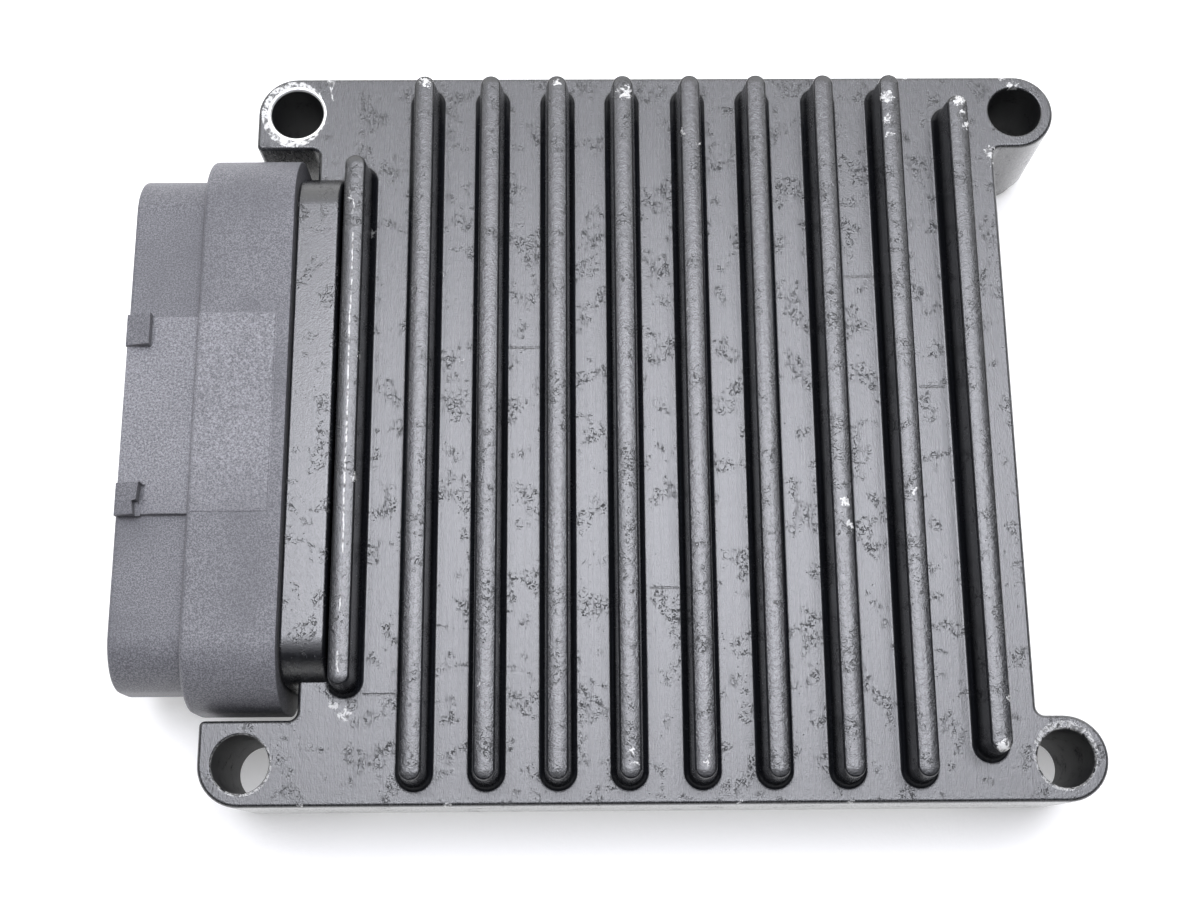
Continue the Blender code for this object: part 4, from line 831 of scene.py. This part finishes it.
def makeScrews(look):
    rim, headTop = screws["rim"], screws["seat"] - screws["headHeight"]
    bm = bmesh.new()
    for x, y in coverScrews:
        rod(bm, x, y, screws["shank"], screws["seat"] - 0.5, screws["seat"] + screws["length"], 24)
        ring = bmesh.ops.create_circle(bm, cap_ends=True, segments=36, radius=screws["head"] - rim / 2,
                                       matrix=slide(x, y, screws["seat"]))["verts"]
        cap = pushOut(bm, ring[0].link_faces[0], (0, 0, -rim / 2))
        stepIn(bm, cap, -rim / 2, rim / 2)
        width, level = screws["head"], rim
        for i in range(1, 6):
            angle = math.radians(15 * i)
            stopWidth = screws["head"] - screws["dome"] * (1 - math.cos(angle))
            stopLevel = rim + (screws["headHeight"] - rim) * math.sin(angle) / math.sin(math.radians(75))
            stepIn(bm, cap, width - stopWidth, stopLevel - level)
            width, level = stopWidth, stopLevel
    piece = closeMesh("coverScrews", bm)
    bm = bmesh.new()
    for x, y in coverScrews:
        verts = rod(bm, x, y, 1.0, headTop - 0.5, headTop + screws["recess"], 48)
        for vert in verts:
            out = Vector((vert.co.x - x, vert.co.y - y, 0))
            turn = math.atan2(out.y, out.x)
            vert.co += out * (screws["lobe"] + screws["lobeDepth"] * math.cos(6 * turn) - 1)
    carve(piece, bm)
    settle(piece, look, [f"cover_screw_{i}" for i in range(1, 9)])


# Simple finishes for the pieces that stay as they are

def makeFinish(name, light, dark, metallic, rough, grainScale, depth, ior=1.5, drawn=None):
    look, tree, shader, place = newLook(name)
    if drawn:
        place = stretch(tree, place, drawn)
    grain = noise(tree, place, grainScale, 5.0, 0.6)
    cloud = noise(tree, place, grainScale * 0.08, 3.0, 0.5)
    feed(tree, shader, Base_Color=mixColour(tree, cloud, light, dark), Metallic=metallic, IOR=ior)
    uneven = 0.16
    feed(tree, shader, Roughness=calcSum(tree, grain, rough - uneven / 2, uneven),
         Normal=bump(tree, grain, depth, 0.6))
    return look


finishes = {
    "coverSheet": dict(light=(0.44, 0.44, 0.43), dark=(0.36, 0.37, 0.37),
        metallic=1.0, rough=0.42, grainScale=2.0, depth=0.00003, drawn=(0.08, 3.0, 1.0)),
    "zincSteel": dict(light=(0.60, 0.59, 0.54), dark=(0.48, 0.48, 0.46),
        metallic=1.0, rough=0.35, grainScale=3.0, depth=0.00003),
    "sealRubber": dict(light=(0.020, 0.020, 0.020), dark=(0.032, 0.031, 0.030),
        metallic=0.0, rough=0.72, grainScale=3.0, depth=0.00004),
    "pinBlockPlastic": dict(light=(0.09, 0.09, 0.10), dark=(0.07, 0.07, 0.075),
        metallic=0.0, rough=0.48, grainScale=3.0, depth=0.00003),
    "tinnedPins": dict(light=(0.74, 0.71, 0.62), dark=(0.62, 0.60, 0.54),
        metallic=1.0, rough=0.30, grainScale=4.0, depth=0.00001),
    "boardLaminate": dict(light=(0.025, 0.13, 0.06), dark=(0.018, 0.09, 0.045),
        metallic=0.0, rough=0.38, grainScale=1.2, depth=0.00005),
    "packagePlastic": dict(light=(0.024, 0.024, 0.026), dark=(0.034, 0.034, 0.036),
        metallic=0.0, rough=0.52, grainScale=5.0, depth=0.00002),
    "canMetal": dict(light=(0.66, 0.66, 0.66), dark=(0.56, 0.56, 0.57),
        metallic=1.0, rough=0.32, grainScale=3.0, depth=0.00001, drawn=(1.0, 1.0, 0.1)),
    "ferriteCore": dict(light=(0.075, 0.075, 0.08), dark=(0.055, 0.055, 0.058),
        metallic=0.0, rough=0.62, grainScale=3.0, depth=0.00005),
    "padSilicone": dict(light=(0.34, 0.41, 0.47), dark=(0.29, 0.36, 0.42),
        metallic=0.0, rough=0.80, grainScale=2.0, depth=0.00004),
}
nodeFinish = {
    "base_cover": "coverSheet", "cover_seal": "sealRubber", "header_seal": "sealRubber",
    "pin_block": "pinBlockPlastic", "circuit_board": "boardLaminate", "board_screw": "zincSteel",
    "header_screw": "zincSteel", "cover_screw": "zincSteel", "microcontroller": "packagePlastic",
    "flash_memory": "packagePlastic", "output_driver": "packagePlastic", "ignition_driver": "packagePlastic",
    "voltage_regulator": "packagePlastic", "thermal_pad": "padSilicone", "filter_capacitor": "canMetal",
    "crystal": "canMetal", "power_choke": "ferriteCore",
}


def dressNodes():
    looks = {name: makeFinish(name, **values) for name, values in finishes.items()}
    for name, piece in nodes.items():
        for start, finish in nodeFinish.items():
            if name.startswith(start):
                piece.data.materials.clear()
                piece.data.materials.append(looks[finish])
    return looks


# Floor, lights and camera

studio = {
    "lamps": (              # name, place, size across and deep, radiance
        ("softbox", (0.045, 0.190, 1.02), (0.87, 0.520), 6.6),
        ("softboxCore", (0.09, 0.270, 1.01), (0.80, 0.200), 1.6),
        ("wideBounce", (0.03, 0.20, 1.10), (1.60, 1.70), 1.3),
    ),
    "lampColour": (0.915, 0.925, 1.0),
    "ceiling": 0.03, "horizon": 0.90, "horizonFade": (0.20, 0.42),
    "backWall": 1.9, "backWallTurn": (0.25, 0.60), "backWallFade": (0.84, 0.70),
    "floor": (0.82, 0.815, 0.805), "floorHalf": 3.0, "floorLift": 0.30, "glossLift": 2.6,
    "lens": 48.97, "sensor": 36.0, "camera": (-0.00392, -0.08251, 0.31061),
    "right": (0.9999, -0.0078, 0.0081), "up": (0.0054, 0.9655, 0.2602), "view": (0.0098, 0.2601, -0.9655),
}


def makeStudio():
    bm = bmesh.new()
    bmesh.ops.create_grid(bm, x_segments=1, y_segments=1, size=studio["floorHalf"])
    mesh = bpy.data.meshes.new("paperFloor")
    bm.to_mesh(mesh)
    bm.free()
    floor = bpy.data.objects.new("paperFloor", mesh)
    bpy.context.scene.collection.objects.link(floor)
    look, tree, shader, place = newLook("palePaper")
    crinkle = noise(tree, place, 0.035, 6.0, 0.62, 0.3)
    feed(tree, shader, Base_Color=studio["floor"], Roughness=0.85, Normal=bump(tree, crinkle, 0.0012, 0.5),
         Emission_Color=(1.0, 1.0, 1.0))
    path = addNode(tree, "ShaderNodeLightPath").outputs
    mirrored = calc(tree, "MULTIPLY", path["Is Glossy Ray"], studio["glossLift"])
    seen = highest(tree, [path["Is Camera Ray"], mirrored, path["Is Transmission Ray"]])
    feed(tree, shader, Emission_Strength=calc(tree, "MULTIPLY", seen, studio["floorLift"]))
    mesh.materials.append(look)

    for name, place, (across, deep), radiance in studio["lamps"]:
        lamp = bpy.data.lights.new(name, "AREA")
        lamp.shape = "RECTANGLE"
        lamp.size, lamp.size_y = across, deep
        lamp.color = studio["lampColour"]
        lamp.energy = radiance * math.pi * across * deep
        hung = bpy.data.objects.new(name, lamp)
        hung.location = place
        bpy.context.scene.collection.objects.link(hung)

    world = bpy.data.worlds.new("paleRoom")
    bpy.context.scene.world = world
    world.use_nodes = True
    tree = world.node_tree
    way = apart(tree, addNode(tree, "ShaderNodeTexCoord").outputs["Generated"])
    strength = ramp(tree, way["Z"], *studio["horizonFade"], studio["horizon"], studio["ceiling"])
    backWall = calc(tree, "MULTIPLY", ramp(tree, way["Y"], *studio["backWallTurn"]),
                    ramp(tree, way["Z"], *studio["backWallFade"]))
    strength = calc(tree, "MAXIMUM", strength, calc(tree, "MULTIPLY", backWall, studio["backWall"]))
    tree.links.new(strength, tree.nodes["Background"].inputs["Strength"])
    tree.nodes["Background"].inputs["Color"].default_value = (1.0, 1.0, 1.0, 1.0)

    camera = bpy.data.cameras.new("camera")
    camera.lens = studio["lens"]
    camera.sensor_width = studio["sensor"]
    camera.clip_start, camera.clip_end = 0.01, 20.0
    eye = bpy.data.objects.new("camera", camera)
    right, up = Vector(studio["right"]), Vector(studio["up"])
    back = -Vector(studio["view"])
    turn = Matrix((right, up, back)).transposed().to_4x4()
    eye.matrix_world = Matrix.Translation(studio["camera"]) @ turn
    bpy.context.scene.collection.objects.link(eye)
    bpy.context.scene.camera = eye
    bpy.context.scene.view_settings.view_transform = "Standard"


makeStudio()
print("studio ready")
looks = dressNodes()
print("carried-over pieces dressed")
# The second and third coats are copies with less reflection: painted shade for the fins' sides and, darker, their
# low sides
makeCasting(makeCoating("blackCoating", coating["ior"], 0.0, 0.5),
            makeCoating("shadedFlankCoating", coating["flankIor"], 1.0, 0.5),
            makeCoating("deepShadeCoating", coating["flankIor"], 1.0, 0.2))
makeHeader(makeHeaderPlastic())
makePins(looks["pinBlockPlastic"], looks["tinnedPins"])
makeScrews(looks["zincSteel"])
